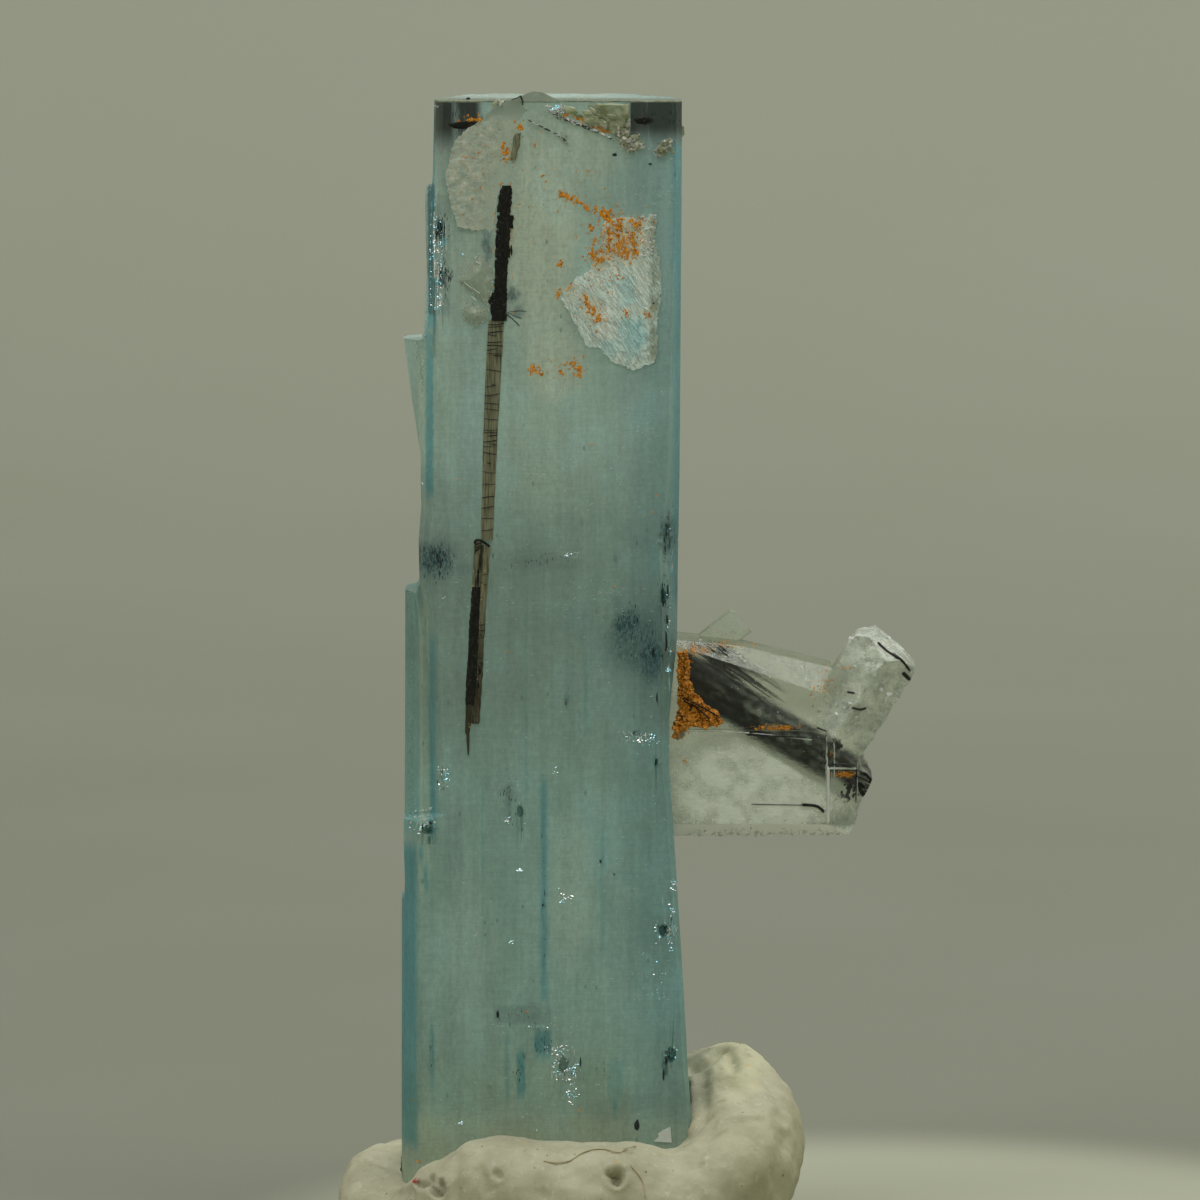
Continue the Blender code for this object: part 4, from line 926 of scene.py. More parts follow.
def smoky_material():
    """Parts of the needles that let some light through, grey-brown with dark ribs."""
    paint = Paint("schorl_smoky")
    ribs = paint.noise(0.06, stretch=(1, 1, 14), detail=4.0)
    patches = paint.noise(0.5, stretch=(1, 1, 1.6), detail=5.0, roughness=0.7)
    colour = paint.mix(paint.span(ribs, 0.32, 0.66), (0.13, 0.125, 0.065), (0.36, 0.36, 0.23))
    colour = paint.mix(paint.span(patches, 0.5, 0.75, 0.0, 0.7), colour, (0.09, 0.085, 0.045))
    low = paint.math("MULTIPLY", paint.span(paint.axis(2), 26.4, 23.2), paint.span(patches, 0.36, 0.5, 0.7, 1.0))
    colour = paint.tint(low, colour, (0.20, 0.17, 0.13))
    gold = paint.math("MULTIPLY", paint.specks(0.16, 0.04, 0.3), paint.span(paint.axis(2), 28.4, 27.0))
    colour = paint.mix(paint.math("MULTIPLY", gold, 0.7), colour, (0.75, 0.62, 0.2))
    paint.bump(ribs, 0.02, 0.35)
    return paint.finish(Base_Color=colour, Roughness=0.3, Transmission_Weight=0.25, IOR=1.5)


def iron_material():
    paint = Paint("iron_oxide")
    patches = paint.noise(0.11, detail=5.0, roughness=0.7)
    colour = paint.mix(paint.span(patches, 0.4, 0.6), (0.66, 0.21, 0.004), (1.0, 0.46, 0.035))
    colour = paint.mix(paint.span(paint.noise(0.16, detail=5.0), 0.58, 0.7), colour, (0.34, 0.12, 0.012))
    paint.bump(paint.noise(0.08, detail=4.0), 0.04, 0.7)
    return paint.finish(Base_Color=colour, Roughness=0.8)


def crust_material():
    paint = Paint("iron_crust")
    patches = paint.noise(0.28, detail=6.0, roughness=0.7)
    fine = paint.noise(0.09, detail=4.0)
    colour = paint.mix(paint.span(patches, 0.36, 0.5), (0.03, 0.015, 0.006), (0.64, 0.23, 0.012))
    colour = paint.mix(paint.span(fine, 0.5, 0.64), colour, (1.0, 0.5, 0.11))
    paint.bump(fine, 0.05, 0.8)
    return paint.finish(Base_Color=colour, Roughness=0.8)


def rind_material():
    """Milky skin, glassy where it stands over the top edge, flecked with rust."""
    paint = Paint("pale_rind")
    clouds = paint.noise(0.45, detail=6.0, roughness=0.7)
    fine = paint.noise(0.1, detail=5.0, roughness=0.7)
    colour = paint.mix(paint.span(clouds, 0.34, 0.66), (0.62, 0.76, 0.66), (0.94, 0.97, 0.80))
    colour = paint.shade(colour, paint.span(fine, 0.3, 0.7, 0.78, 1.08))
    leaning_x = paint.dot(paint.warped(0.5, 0.5), (1.0, 0.0, -0.25))
    colour = paint.mix(paint.span(leaning_x, -13.2, -12.4, 0.0, 0.75), colour, (0.70, 0.82, 0.68))
    glassy = paint.span(paint.axis(2, paint.warped(0.6, 0.5)), 44.9, 45.6)
    colour = paint.mix(glassy, colour, (0.72, 0.82, 0.70))
    rust = paint.math("MULTIPLY", paint.specks(0.22, 0.05, 0.35), paint.span(clouds, 0.42, 0.6))
    colour = paint.mix(paint.math("MULTIPLY", rust, 0.75), colour, (0.62, 0.34, 0.08))
    stain = paint.span(paint.noise(0.35, detail=5.0), 0.56, 0.72, 0.0, 0.3)
    colour = paint.mix(stain, colour, (0.56, 0.46, 0.2))
    relief = paint.math("ADD", clouds, paint.math("MULTIPLY", fine, 0.5))
    paint.bump(relief, 0.03, 0.5)
    clear = paint.blend(glassy, 0.3, 0.6)
    return paint.finish(Base_Color=colour, Transmission_Weight=clear, Roughness=0.3, IOR=1.5)


def tuft_material():
    paint = Paint("pale_tufts")
    clouds = paint.noise(0.3, detail=5.0)
    colour = paint.mix(paint.span(clouds, 0.35, 0.65), (0.62, 0.64, 0.38), (1.0, 1.0, 0.92))
    paint.bump(clouds, 0.04, 0.5)
    return paint.finish(Base_Color=colour, Transmission_Weight=0.5, Roughness=0.1, IOR=1.5)


def block_material():
    """The yellowish translucent block at the top right."""
    paint = Paint("yellowish_block")
    clouds = paint.noise(0.35, stretch=(2, 1, 1), detail=5.0)
    colour = paint.mix(paint.span(clouds, 0.4, 0.6), (0.50, 0.56, 0.30), (0.84, 0.87, 0.62))
    paint.bump(clouds, 0.04, 0.6)
    return paint.finish(Base_Color=colour, Transmission_Weight=0.6, Roughness=0.08, IOR=1.53)


def lath_material():
    """Silvery laths with dark lengthwise lines."""
    paint = Paint("silvery_laths")
    lines = paint.noise(0.08, stretch=(2.4, 1, 1), detail=5.0, roughness=0.7)
    colour = paint.mix(paint.span(lines, 0.46, 0.56), (0.03, 0.03, 0.02), (0.80, 0.82, 0.78))
    return paint.finish(Base_Color=colour, Roughness=0.25, Metallic=0.2)


def mica_material():
    paint = Paint("mica")
    clouds = paint.noise(0.7, detail=5.0, roughness=0.65)
    fine = paint.noise(0.055, stretch=(8, 1, 1), detail=6.0, roughness=0.75, place=paint.turned(MICA_SLANT))
    colour = paint.mix(paint.span(clouds, 0.35, 0.65), (0.80, 1.0, 0.96), (0.93, 1.0, 0.92))
    colour = paint.shade(colour, paint.span(fine, 0.4, 0.62, 0.70, 1.34))
    blue = paint.zones(
        ((3.5, 36.6, 0.9, 1.3, 1.0), (3.2, 38.4, 0.6, 0.8, 0.7), (2.6, 36.2, 0.6, 0.5, 0.5)),
        place=paint.warped(0.6, 0.6),
    )
    colour = paint.tint(paint.math("MULTIPLY", blue, 0.7), colour, (0.52, 0.80, 0.90))
    rim = paint.math("MULTIPLY", paint.span(paint.axis(0), 4.0, 4.3), paint.span(clouds, 0.35, 0.55))
    colour = paint.mix(paint.math("MULTIPLY", rim, 0.6), colour, (0.24, 0.29, 0.18))
    stain = paint.zones(
        (
            (3.0, 40.4, 1.4, 1.3, 1.0), (2.1, 39.7, 0.7, 0.8, 1.0), (1.9, 37.7, 0.6, 0.8, 0.8),
            (1.0, 38.4, 0.6, 0.6, 0.6), (4.1, 37.5, 0.4, 0.3, 0.8), (3.9, 40.8, 0.7, 0.8, 0.6),
        ),
        place=paint.warped(0.35, 0.6),
    )
    stain = paint.math("MULTIPLY", stain, paint.span(fine, 0.4, 0.6))
    colour = paint.mix(paint.math("MULTIPLY", stain, 0.6), colour, (0.66, 0.46, 0.14))
    paint.bump(fine, 0.03, 0.5)
    rough = paint.span(fine, 0.3, 0.7, 0.42, 0.22)
    return paint.finish(Base_Color=colour, Roughness=rough, Metallic=0.25)


def putty_material():
    paint = Paint("putty")
    broad = paint.noise(2.4, detail=4.0)
    fine = paint.noise(0.16, detail=6.0, roughness=0.7)
    colour = paint.mix(paint.span(broad, 0.3, 0.7), (0.44, 0.42, 0.285), (0.58, 0.56, 0.40))
    dirt = paint.span(paint.noise(0.5, detail=6.0, roughness=0.75), 0.54, 0.72)
    colour = paint.mix(paint.math("MULTIPLY", dirt, 0.5), colour, (0.29, 0.27, 0.17))
    rusty = paint.span(paint.noise(0.7, detail=6.0, roughness=0.8), 0.66, 0.76)
    colour = paint.mix(paint.math("MULTIPLY", rusty, 0.4), colour, (0.55, 0.40, 0.17))
    chalk = paint.span(paint.noise(0.25, stretch=(1, 1, 2), detail=5.0), 0.56, 0.75, 0.0, 0.5)
    colour = paint.mix(chalk, colour, (0.70, 0.69, 0.54))
    specks = paint.specks(0.55, 0.05, 0.5)
    colour = paint.mix(paint.math("MULTIPLY", specks, 0.75), colour, (0.13, 0.11, 0.06))
    orange = paint.specks(0.9, 0.09, 0.4)
    colour = paint.mix(paint.math("MULTIPLY", orange, 0.55), colour, (0.66, 0.44, 0.14))
    greyer = paint.math("MULTIPLY", paint.span(paint.axis(0), 5.5, 9.0), paint.span(paint.axis(2), 6.4, 4.8))
    colour = paint.tint(greyer, colour, (0.78, 0.78, 0.70))
    lit = paint.zone(7.8, 7.1, 1.9, 1.5, place=paint.warped(0.8, 0.5))
    colour = paint.tint(paint.math("MULTIPLY", lit, 0.9), colour, (1.34, 1.34, 1.24))
    paint.bump(fine, 0.05, 0.6)
    return paint.finish(Base_Color=colour, Roughness=0.65)


def stage_material():
    paint = Paint("backdrop")
    patches = paint.noise(60.0, detail=2.0)
    (x, y), radius = PAINTED_LIGHT_POOL
    from_light_pool = paint.vector("MULTIPLY_ADD", paint.place, (1, 1, 0), (-x, -y, 0))
    from_light_pool = paint.add("VectorMath", {0: from_light_pool}, operation="LENGTH").outputs["Value"]
    outward = paint.add("VectorMath", {0: paint.place}, operation="LENGTH").outputs["Value"]
    # painted light and shade: the backdrop is painted darker on the floor near the middle and paler out and up the wall
    colour = paint.mix(paint.span(outward, 40.0, 520.0), (0.20, 0.207, 0.155), (0.365, 0.38, 0.292))
    # painted light: a pale pool of light painted on the floor round the specimen
    colour = paint.mix(paint.span(from_light_pool, radius + 5, radius - 4), colour, (0.395, 0.405, 0.30))
    colour = paint.mix(paint.span(patches, 0.2, 0.8, 0.0, 0.06), colour, (0.5, 0.5, 0.5))
    return paint.finish(Base_Color=colour, Roughness=0.9)


def plain_colour_material(name, low, high, roughness=0.6):
    paint = Paint(name)
    colour = paint.mix(paint.noise(0.15, detail=3.0), low, high)
    return paint.finish(Base_Color=colour, Roughness=roughness)


# Pieces

def close_slots(bm):
    """The frame's aquamarine has open troughs for the needles; here it closes round them."""
    inside = []
    for face in bm.faces:
        x, y, z = face.calc_center_median()
        if -3.5 < x < -1.1 and FRONT_Y + 0.01 < y < -2.4 and 19.6 < z < 42.8:
            inside.append(face)
    bmesh.ops.delete(bm, geom=inside, context="FACES")
    bmesh.ops.holes_fill(bm, edges=[edge for edge in bm.edges if edge.is_boundary])


def striped_places(low, high, rng):
    places = []
    place = low
    while place < high:
        place += rng.uniform(*STRIPE_WIDTHS)
        places.append(place)
    return places


def slice_pits(bm):
    """Cuts the front face finely round the etched hollows."""
    for x, z, half_width, half_height, _ in PITS:
        geometry = set()
        for face in bm.faces:
            place = face.calc_center_median()
            if place.y < -2.4 and abs(place.x - x) < half_width * 1.3 and abs(place.z - z) < half_height * 1.2:
                geometry.update((face, *face.edges, *face.verts))
        geometry = list(geometry)
        for axis, middle, half, step in ((0, x, half_width, PIT_STEP[0]), (2, z, half_height, PIT_STEP[1])):
            normal = Vector((0, 0, 0))
            normal[axis] = 1
            for place in grid(middle - half, middle + half, step):
                cut = bmesh.ops.bisect_plane(
                    bm, geom=geometry, dist=1e-5, plane_co=normal * place, plane_no=normal
                )
                geometry = cut["geom"]


def growth_height(across, z, side):
    """How far a growth stripe stands out at a place across a face."""
    coarse = noise.noise(Vector((across * 1.7, z * 0.06, side * 7.3)))
    fine = noise.noise(Vector((across * 5.3, z * 0.11, side * 3.1 + 20)))
    return STRIPE_HEIGHT * (coarse + 0.7 * fine)


def etched_depth(x, z):
    """How ragged the bottom of an etched hollow is at a place on the front face."""
    for pit_x, pit_z, half_width, half_height, depth in PITS:
        inside = 1 - math.hypot((x - pit_x) / half_width, (z - pit_z) / half_height)
        if inside > 0:
            steps = noise.noise(Vector((x * 9.0, 3.0, z * 1.3))) + 0.6 * noise.noise(Vector((x * 23, 9.0, z * 4)))
            return depth * min(1.0, 3 * inside) * round(steps * 5) / 5
    return 0.0


def between(table, z):
    """The value at a height, from a table that runs down."""
    for (high, at_high), (low, at_low) in zip(table, table[1:]):
        if z > low:
            return at_low + (at_high - at_low) * min(1.0, (z - low) / (high - low))
    return table[-1][1]


def build_aquamarine():
    """The prism, with growth stripes standing out along its upright faces."""
    rng = random.Random(7)
    bm = copied_solid("aquamarine_crystal")
    close_slots(bm)
    cut_off(bm, Vector((0, 0, CRYSTAL_TOP - 0.01)), Vector((0, 0, 1)))
    bmesh.ops.dissolve_limit(bm, angle_limit=math.radians(0.2), verts=bm.verts, edges=bm.edges)
    slice_up(bm, 0, striped_places(-5.8, 5.9, rng))
    slice_up(bm, 1, striped_places(-3.3, 3.5, rng))
    slice_up(bm, 2, STRIPE_LEVELS)
    slice_pits(bm)
    bm.normal_update()
    for vert in bm.verts:
        x, y, z = vert.co
        at_left = max(0.0, min(1.0, (-4.2 - x) / 0.3))
        at_right = max(0.0, min(1.0, (x - 4.3) / 0.6))
        if x < -4.79 and abs(z - LEDGE_DROPS[1][0]) < 0.05:
            at_left = 1 + (x + 4.79)
        vert.co.x += at_left * between(LEFT_SHIFTS, z) + at_right * between(RIGHT_SHIFTS, z)
        for top, drop in LEDGE_DROPS:
            if x < -4.77 and abs(z - top) < 0.05:
                vert.co.z -= drop
        if -4.5 < x < -3.6 and 36.4 < z < 42.2 and y < -2.4:
            vert.co.y = min(y, FRONT_Y + HOLLOW_DEPTH)
        if z > CRYSTAL_TOP - 0.02:
            vert.co.z -= 0.07 * abs(noise.noise(vert.co / 0.7))
            continue
        if z < 1.7:
            continue
        normal = vert.normal
        if y < -2.6 and normal.y < -0.2:
            vert.co.y += etched_depth(x, z)
        if abs(normal.y) > 0.5:
            vert.co.y += math.copysign(growth_height(x, z, math.copysign(1, normal.y)), normal.y)
        elif abs(normal.x) > 0.5:
            vert.co.x += math.copysign(growth_height(y, z, math.copysign(2, normal.x)), normal.x)
    return make_piece("aquamarine_prism", bm, aquamarine_material(), ["aquamarine_crystal"])


def jagged(stations, step, amount, rng):
    """Stations every step along a bar, each edge a little off its straight line."""
    result = []
    for (top, left, right), (low, low_left, low_right) in zip(stations, stations[1:]):
        count = max(1, round((top - low) / step))
        for i in range(count):
            share = i / count
            result.append((
                top + (low - top) * share,
                left + (low_left - left) * share + rng.uniform(-amount, amount),
                right + (low_right - right) * share + rng.uniform(-amount, amount),
            ))
    return [*result, stations[-1]]


def bar(bm, stations, rng, rise=NEEDLE_RISE, rib_count=9, rib_depth=0.25):
    """A ribbed bar set in the front face, crowned from its left edge to its right."""
    ribs = [1 - rib_depth * rng.random() for _ in range(rib_count)]
    rings = []
    for z, left, right in stations:
        ring = [(left, FRONT_Y + 0.12, z)]
        for i, rib in enumerate(ribs):
            share = i / (rib_count - 1)
            crown = 0.3 + 0.7 * math.sqrt(1 - (2 * share - 1) ** 2)
            ring.append((left + (right - left) * share, FRONT_Y - rise * crown * rib, z))
        ring.append((right, FRONT_Y + 0.12, z))
        rings.append(ring)
    loft(bm, rings)


def cracks_across(bm, stations, levels, rise, rng):
    """Fine dark breaks across a bar, some right across and some not."""
    for level in levels:
        for (top, left, right), (low, low_left, low_right) in zip(stations, stations[1:]):
            if low < level <= top:
                share = (top - level) / (top - low)
                left += (low_left - left) * share
                right += (low_right - right) * share
                break
        width = right - left
        start = left + width * max(0.0, rng.uniform(-0.6, 0.35))
        end = right - width * max(0.0, rng.uniform(-0.8, 0.35))
        tilt = rng.uniform(-0.05, 0.05)
        middle = ((start + end) / 2, FRONT_Y - rise * 1.02, level + rng.uniform(-0.02, 0.03))
        path = [(start, FRONT_Y - rise * 0.4, level - tilt), middle, (end, FRONT_Y - rise * 0.4, level + tilt)]
        tube(bm, curve_through(path, 4), rng.uniform(0.010, 0.022), sides=4)


def build_needles(black, smoky):
    rng = random.Random(11)
    bm = bmesh.new()
    for stations in UPPER_BLACK:
        stations = [(z, left + 0.08, right + 0.09) for z, left, right in stations]
        bar(bm, jagged(stations, 0.09, 0.025, rng), rng, rise=NEEDLE_RISE + 0.03)
    bar(bm, UPPER_CORE, rng, rise=NEEDLE_RISE + 0.01)
    for x, z, width, height in (
        (-2.16, 38.0, 0.12, 0.2), (-2.08, 37.7, 0.1, 0.4), (-1.32, 40.0, 0.05, 0.3), (-1.92, 40.3, 0.05, 0.3),
    ):
        shard(bm, (x, FRONT_Y - 0.02, z), (width, 0.08, height), rng)
    for path, radius in (
        (((-1.55, 37.5), (-1.3, 37.3), (-1.0, 37.0)), 0.02), (((-1.5, 37.56), (-1.2, 37.4), (-0.9, 37.3)), 0.012),
        (((-1.4, 37.56), (-1.0, 37.6), (-0.72, 37.58)), 0.010),
    ):
        tube(bm, curve_through([(x, FRONT_Y - 0.01, z) for x, z in path]), radius)
    cracks_across(bm, UPPER_SMOKY, SMOKY_CRACKS, NEEDLE_RISE, rng)
    make_piece("needle_upper_black", bm, black, ["schorl_needle_upper"])
    bm = bmesh.new()
    bar(bm, jagged(UPPER_SMOKY, 0.3, 0.012, rng), rng)
    bar(bm, jagged(LOWER_OLIVE_LEFT, 0.2, 0.012, rng), rng, rib_count=6)
    bar(bm, jagged(LOWER_OLIVE_RIGHT, 0.2, 0.02, rng), rng, rib_count=6)
    bar(bm, jagged(LOWER_TIP, 0.2, 0.012, rng), rng, rise=0.06, rib_count=5)
    bar(bm, jagged(TOP_STUB, 0.1, 0.03, rng), rng, rise=0.13, rib_count=6)
    make_piece("needle_smoky_parts", bm, smoky)
    bm = bmesh.new()
    bar(bm, jagged(LOWER_BLACK, 0.12, 0.02, rng), rng, rise=NEEDLE_RISE + 0.02, rib_count=7)
    cap = [(-2.8, FRONT_Y - 0.08, 28.36), (-2.72, FRONT_Y - 0.11, 28.5), (-2.5, FRONT_Y - 0.12, 28.46),
           (-2.18, FRONT_Y - 0.08, 28.24)]
    tube(bm, curve_through(cap), 0.045)
    for drop in (0.12, 0.22, 0.3):
        tube(bm, curve_through([(x, y, z - drop * (1.4 if x < -2.6 else 0.8)) for x, y, z in cap[:3]]), 0.02)
    for x, low, high in ((-2.52, 27.2, 28.4), (-2.66, 26.6, 27.4), (-2.74, 26.5, 27.0), (-2.6, 26.5, 28.0)):
        rod(bm, (x, FRONT_Y - 0.1, high), (x - 0.04, FRONT_Y - 0.1, low), 0.022, tip=0.2, rng=rng)
    cracks_across(bm, LOWER_OLIVE_RIGHT, OLIVE_CRACKS, NEEDLE_RISE, rng)
    for x, z, width, height in ((-2.62, 23.3, 0.12, 0.3), (-2.68, 22.7, 0.14, 0.24), (-2.56, 24.7, 0.06, 0.14)):
        shard(bm, (x, FRONT_Y - 0.05, z), (width, 0.06, height), rng)
    make_piece("needle_lower", bm, black, ["schorl_needle_lower"])


def build_slivers(surface):
    """Fine upright slivers in dark clouds in the front face, and single dark chips."""
    rng = random.Random(23)
    bm = bmesh.new()
    for *zone, count in SLIVER_CLOUDS:
        for spot in scattered(surface, zone, count, rng, "loose"):
            length = rng.uniform(0.03, 0.22)
            start = spot + Vector((0, rng.uniform(-0.004, 0.02), -length / 2))
            end = start + Vector((rng.uniform(-0.02, 0.02), 0, length))
            rod(bm, start, end, rng.uniform(0.005, 0.016), sides=4, tip=0.25, rng=rng)
    for x, z, half_width, half_height in DARK_CHIPS:
        spot = seen_on(surface, x, z) or Vector((x, FRONT_Y, z))
        shard(bm, spot, (half_width, 0.04, half_height), rng, 12)
    dark = plain_colour_material("dark_inclusions", (0.003, 0.008, 0.010), (0.012, 0.03, 0.04), 0.35)
    make_piece("dark_slivers", bm, dark)


def build_sparkles(surface):
    """Small broken spots in the front face that catch the light."""
    rng = random.Random(31)
    bm = bmesh.new()
    for *zone, count in SPARKLES:
        for spot in scattered(surface, zone, count, rng, "loose"):
            size = 0.010 + 0.045 * rng.random() ** 1.6
            glint(bm, spot, size, rng.uniform(0.5, 1.8), rng)
    for *zone, count in BRIGHT_SLITS:
        for spot in scattered(surface, zone, count, rng):
            shard(bm, spot, (rng.uniform(0.012, 0.03), 0.015, rng.uniform(0.08, 0.4)), rng, 8)
    make_piece("broken_spots", bm, sparkle_material())


def build_chips(surface, chips):
    """Pale wisps and scratches over the front face, and pale crumbs in its notch."""
    rng = random.Random(37)
    bm = bmesh.new()
    for *zone, count, slope in WISPS:
        for spot in scattered(surface, zone, count, rng):
            length = 0.015 + 0.12 * rng.random() ** 2.5
            width = rng.uniform(0.004, 0.012)
            shard(bm, spot, (length, 0.008, width), rng, 7, leaning(-slope + rng.gauss(0, 22)))
    for *zone, count, size in (
        (-4.9, 17.3, 0.5, 0.5, 40, 0.1), (-4.0, 26.2, 0.06, 0.06, 5, 0.06), (-4.86, 36.6, 0.3, 0.05, 6, 0.06),
        (4.1, 40.6, 0.3, 0.8, 60, 0.09), (-2.9, 38.9, 0.4, 0.9, 16, 0.05), (5.0, 12.9, 0.26, 0.3, 24, 0.07),
        (4.88, 44.2, 0.16, 0.14, 16, 0.15), (3.16, 44.1, 0.14, 0.12, 12, 0.13), (3.7, 44.1, 0.12, 0.1, 8, 0.12),
        (0.42, 45.56, 0.38, 0.13, 46, 0.12), (2.2, 36.9, 0.6, 0.5, 20, 0.06), (3.6, 20.6, 0.6, 0.22, 40, 0.05),
    ):
        for spot in scattered(surface, zone, count, rng):
            grain = size * rng.uniform(0.4, 1.0)
            shard(bm, spot, (grain, grain * 0.4, grain * rng.uniform(0.6, 1.3)), rng, 8, random_turn(rng))
    flake = ((4.34, 4.3), (4.52, 4.5), (4.5, 4.62), (4.7, 4.76), (5.0, 4.9), (5.05, 4.26))
    flat_plate(bm, flake, FRONT_Y - 0.05, FRONT_Y + 0.02)
    make_piece("pale_chips", bm, chips)


def build_iron(iron, surface):
    """Fine rusty grains along strokes and in single specks."""
    rng = random.Random(41)
    bm = bmesh.new()
    for path, half_width in IRON_STROKES:
        places = [Vector((x, z)) for x, z in path]
        length = sum((b - a).length for a, b in zip(places, places[1:]))
        for start, end in zip(places, places[1:]):
            for _ in range(round(14 + (end - start).length * half_width * 4800 * min(1.0, 2.4 / length))):
                on_line = start.lerp(end, rng.random())
                off_line = half_width * (2.6 if rng.random() < 0.22 else 0.72)
                across, up = on_line.x + rng.gauss(0, off_line), on_line.y + rng.gauss(0, off_line)
                gap = noise.noise(Vector((across, 2.0, up)) / 0.13)
                spot = seen_on(surface, across, up) if gap > -0.16 else None
                if spot:
                    size = 0.012 + 0.044 * rng.random() ** 2
                    shard(bm, spot, (size * rng.uniform(0.8, 1.5), size * 0.5, size * rng.uniform(0.7, 1.8)), rng, 6)
    for x, z, radius in IRON_SPECKS:
        for spot in scattered(surface, (x, z, radius, radius), 9, rng, "loose"):
            size = radius * rng.uniform(0.25, 0.6)
            shard(bm, spot, (size, size * 0.5, size * rng.uniform(0.8, 1.4)), rng, 7)
    for *zone, count in IRON_DUST:
        for spot in scattered(surface, zone, count, rng, "loose"):
            size = 0.008 + 0.026 * rng.random() ** 3
            shard(bm, spot, (size, size * 0.6, size * rng.uniform(0.8, 1.8)), rng, 6)
    make_piece("iron_stains", bm, iron)


def build_rind(material):
    """The whitish skin: thick along its left edge, thinning out at the right."""
    rng = random.Random(53)
    bm = bmesh.new()
    front = FRONT_Y - RIND_THICK
    flat_plate(bm, ragged(RIND_OUTLINE, 0.13, 0.04, rng), front, FRONT_Y + 0.05)
    slice_up(bm, 0, grid(-3.9, 1.0, 0.11, rng))
    slice_up(bm, 2, grid(40.8, 46.3, 0.11, rng))
    for vert in bm.verts:
        if vert.co.y < front + 0.01:
            across = vert.co.x - (vert.co.z - 43.0) * 0.25
            thinning = max(0.0, min(1.0, (across + 2.9) / 1.1))
            vert.co.y += thinning * (RIND_THICK - 0.01)
            wave = noise.fractal(Vector((vert.co.x, 5.0, vert.co.z)) / 0.4, 0.7, 2.0, 4)
            vert.co.y += 0.03 * wave * (1 - thinning)
    hull(bm, (
        (-1.45, -3.42, 45.85), (0.6, -3.42, 45.85), (-0.92, -3.42, 46.1), (-0.44, -3.42, 46.27),
        (-0.08, -3.42, 46.22), (0.28, -3.42, 46.04), (-1.2, -2.6, 45.88), (0.4, -2.6, 45.88), (-0.4, -2.9, 46.1),
    ))
    return make_piece("rind", bm, material, ["pale_rind"])


def build_mica(material):
    """A stack of thin leaves, split along one direction, under many narrow flakes."""
    rng = random.Random(61)
    bm = bmesh.new()
    centre = Vector((3.1, 38.3))
    for layer in range(3):
        outline = [centre + (Vector(spot) - centre) * (1 - 0.1 * layer) for spot in MICA_OUTLINE]
        back = FRONT_Y - 0.01 - 0.03 * layer
        flat_plate(bm, ragged([tuple(spot) for spot in outline], 0.13, 0.07, rng), back - 0.035, back)
    slant = Vector((math.cos(math.radians(MICA_SLANT)), -math.sin(math.radians(MICA_SLANT))))
    for x, z in scattered_inside(MICA_OUTLINE, 1500, rng):
        length = 0.03 + 0.34 * rng.random() ** 2.5
        ends = [(x + slant.x * length * side, z + slant.y * length * side) for side in (-0.9, 0.9)]
        if not all(inside_outline(MICA_OUTLINE, *end) for end in ends):
            length *= 0.3
        tilt = Matrix.Rotation(rng.gauss(-0.2, 0.2), 3, "X")
        turn = leaning(MICA_SLANT + rng.gauss(0, 12)) @ tilt
        depth = FRONT_Y - 0.11 - rng.uniform(-0.02, 0.03)
        shard(bm, (x, depth, z), (length, 0.010, rng.uniform(0.008, 0.03)), rng, 7, turn)
    return make_piece("mica_leaves", bm, material, ["mica_flake"])


def build_clear_grains(glass, chips):
    rng = random.Random(67)
    bm = bmesh.new()
    upper = ((-3.38, 38.8), (-2.95, 39.35), (-2.6, 39.87), (-2.1, 39.3), (-2.07, 38.5), (-2.27, 37.8), (-2.8, 38.25))
    lower = ((-3.24, 37.7), (-2.82, 37.9), (-2.22, 37.66), (-2.27, 37.3), (-2.76, 36.99), (-3.2, 37.3))
    for outline, ridge in ((upper, ((-2.95, 38.85), (-2.5, 39.2), (-2.45, 38.4))), (lower, ((-2.9, 37.5), (-2.6, 37.4)))):
        base = [(x, FRONT_Y + y, z) for x, z in ragged(outline, 0.5, 0.02, rng) for y in (0.04, -0.06)]
        hull(bm, base + [(x, FRONT_Y - rng.uniform(0.14, 0.24), z) for x, z in ridge])
    make_piece("clear_grains", bm, glass, ["clear_grain_upper", "clear_grain_lower"])
    bm = bmesh.new()
    for outline in (upper, lower):
        for (x0, z0), (x1, z1) in zip(outline, (*outline[1:], outline[0])):
            for _ in range(12):
                share = rng.random()
                spot = (x0 + (x1 - x0) * share, FRONT_Y - 0.06, z0 + (z1 - z0) * share)
                size = rng.uniform(0.012, 0.04)
                shard(bm, spot, (size, 0.02, size * rng.uniform(0.6, 1.6)), rng, 7, random_turn(rng))
    for x, z, slope, length in ((-3.0, 38.6, 40, 0.3), (-2.7, 38.4, 40, 0.3), (-2.6, 39.5, 30, 0.2), (-2.8, 38.1, 45, 0.2)):
        shard(bm, (x, FRONT_Y - 0.16, z), (length, 0.02, 0.04), rng, 8, leaning(slope))
    make_piece("grain_rims", bm, chips)


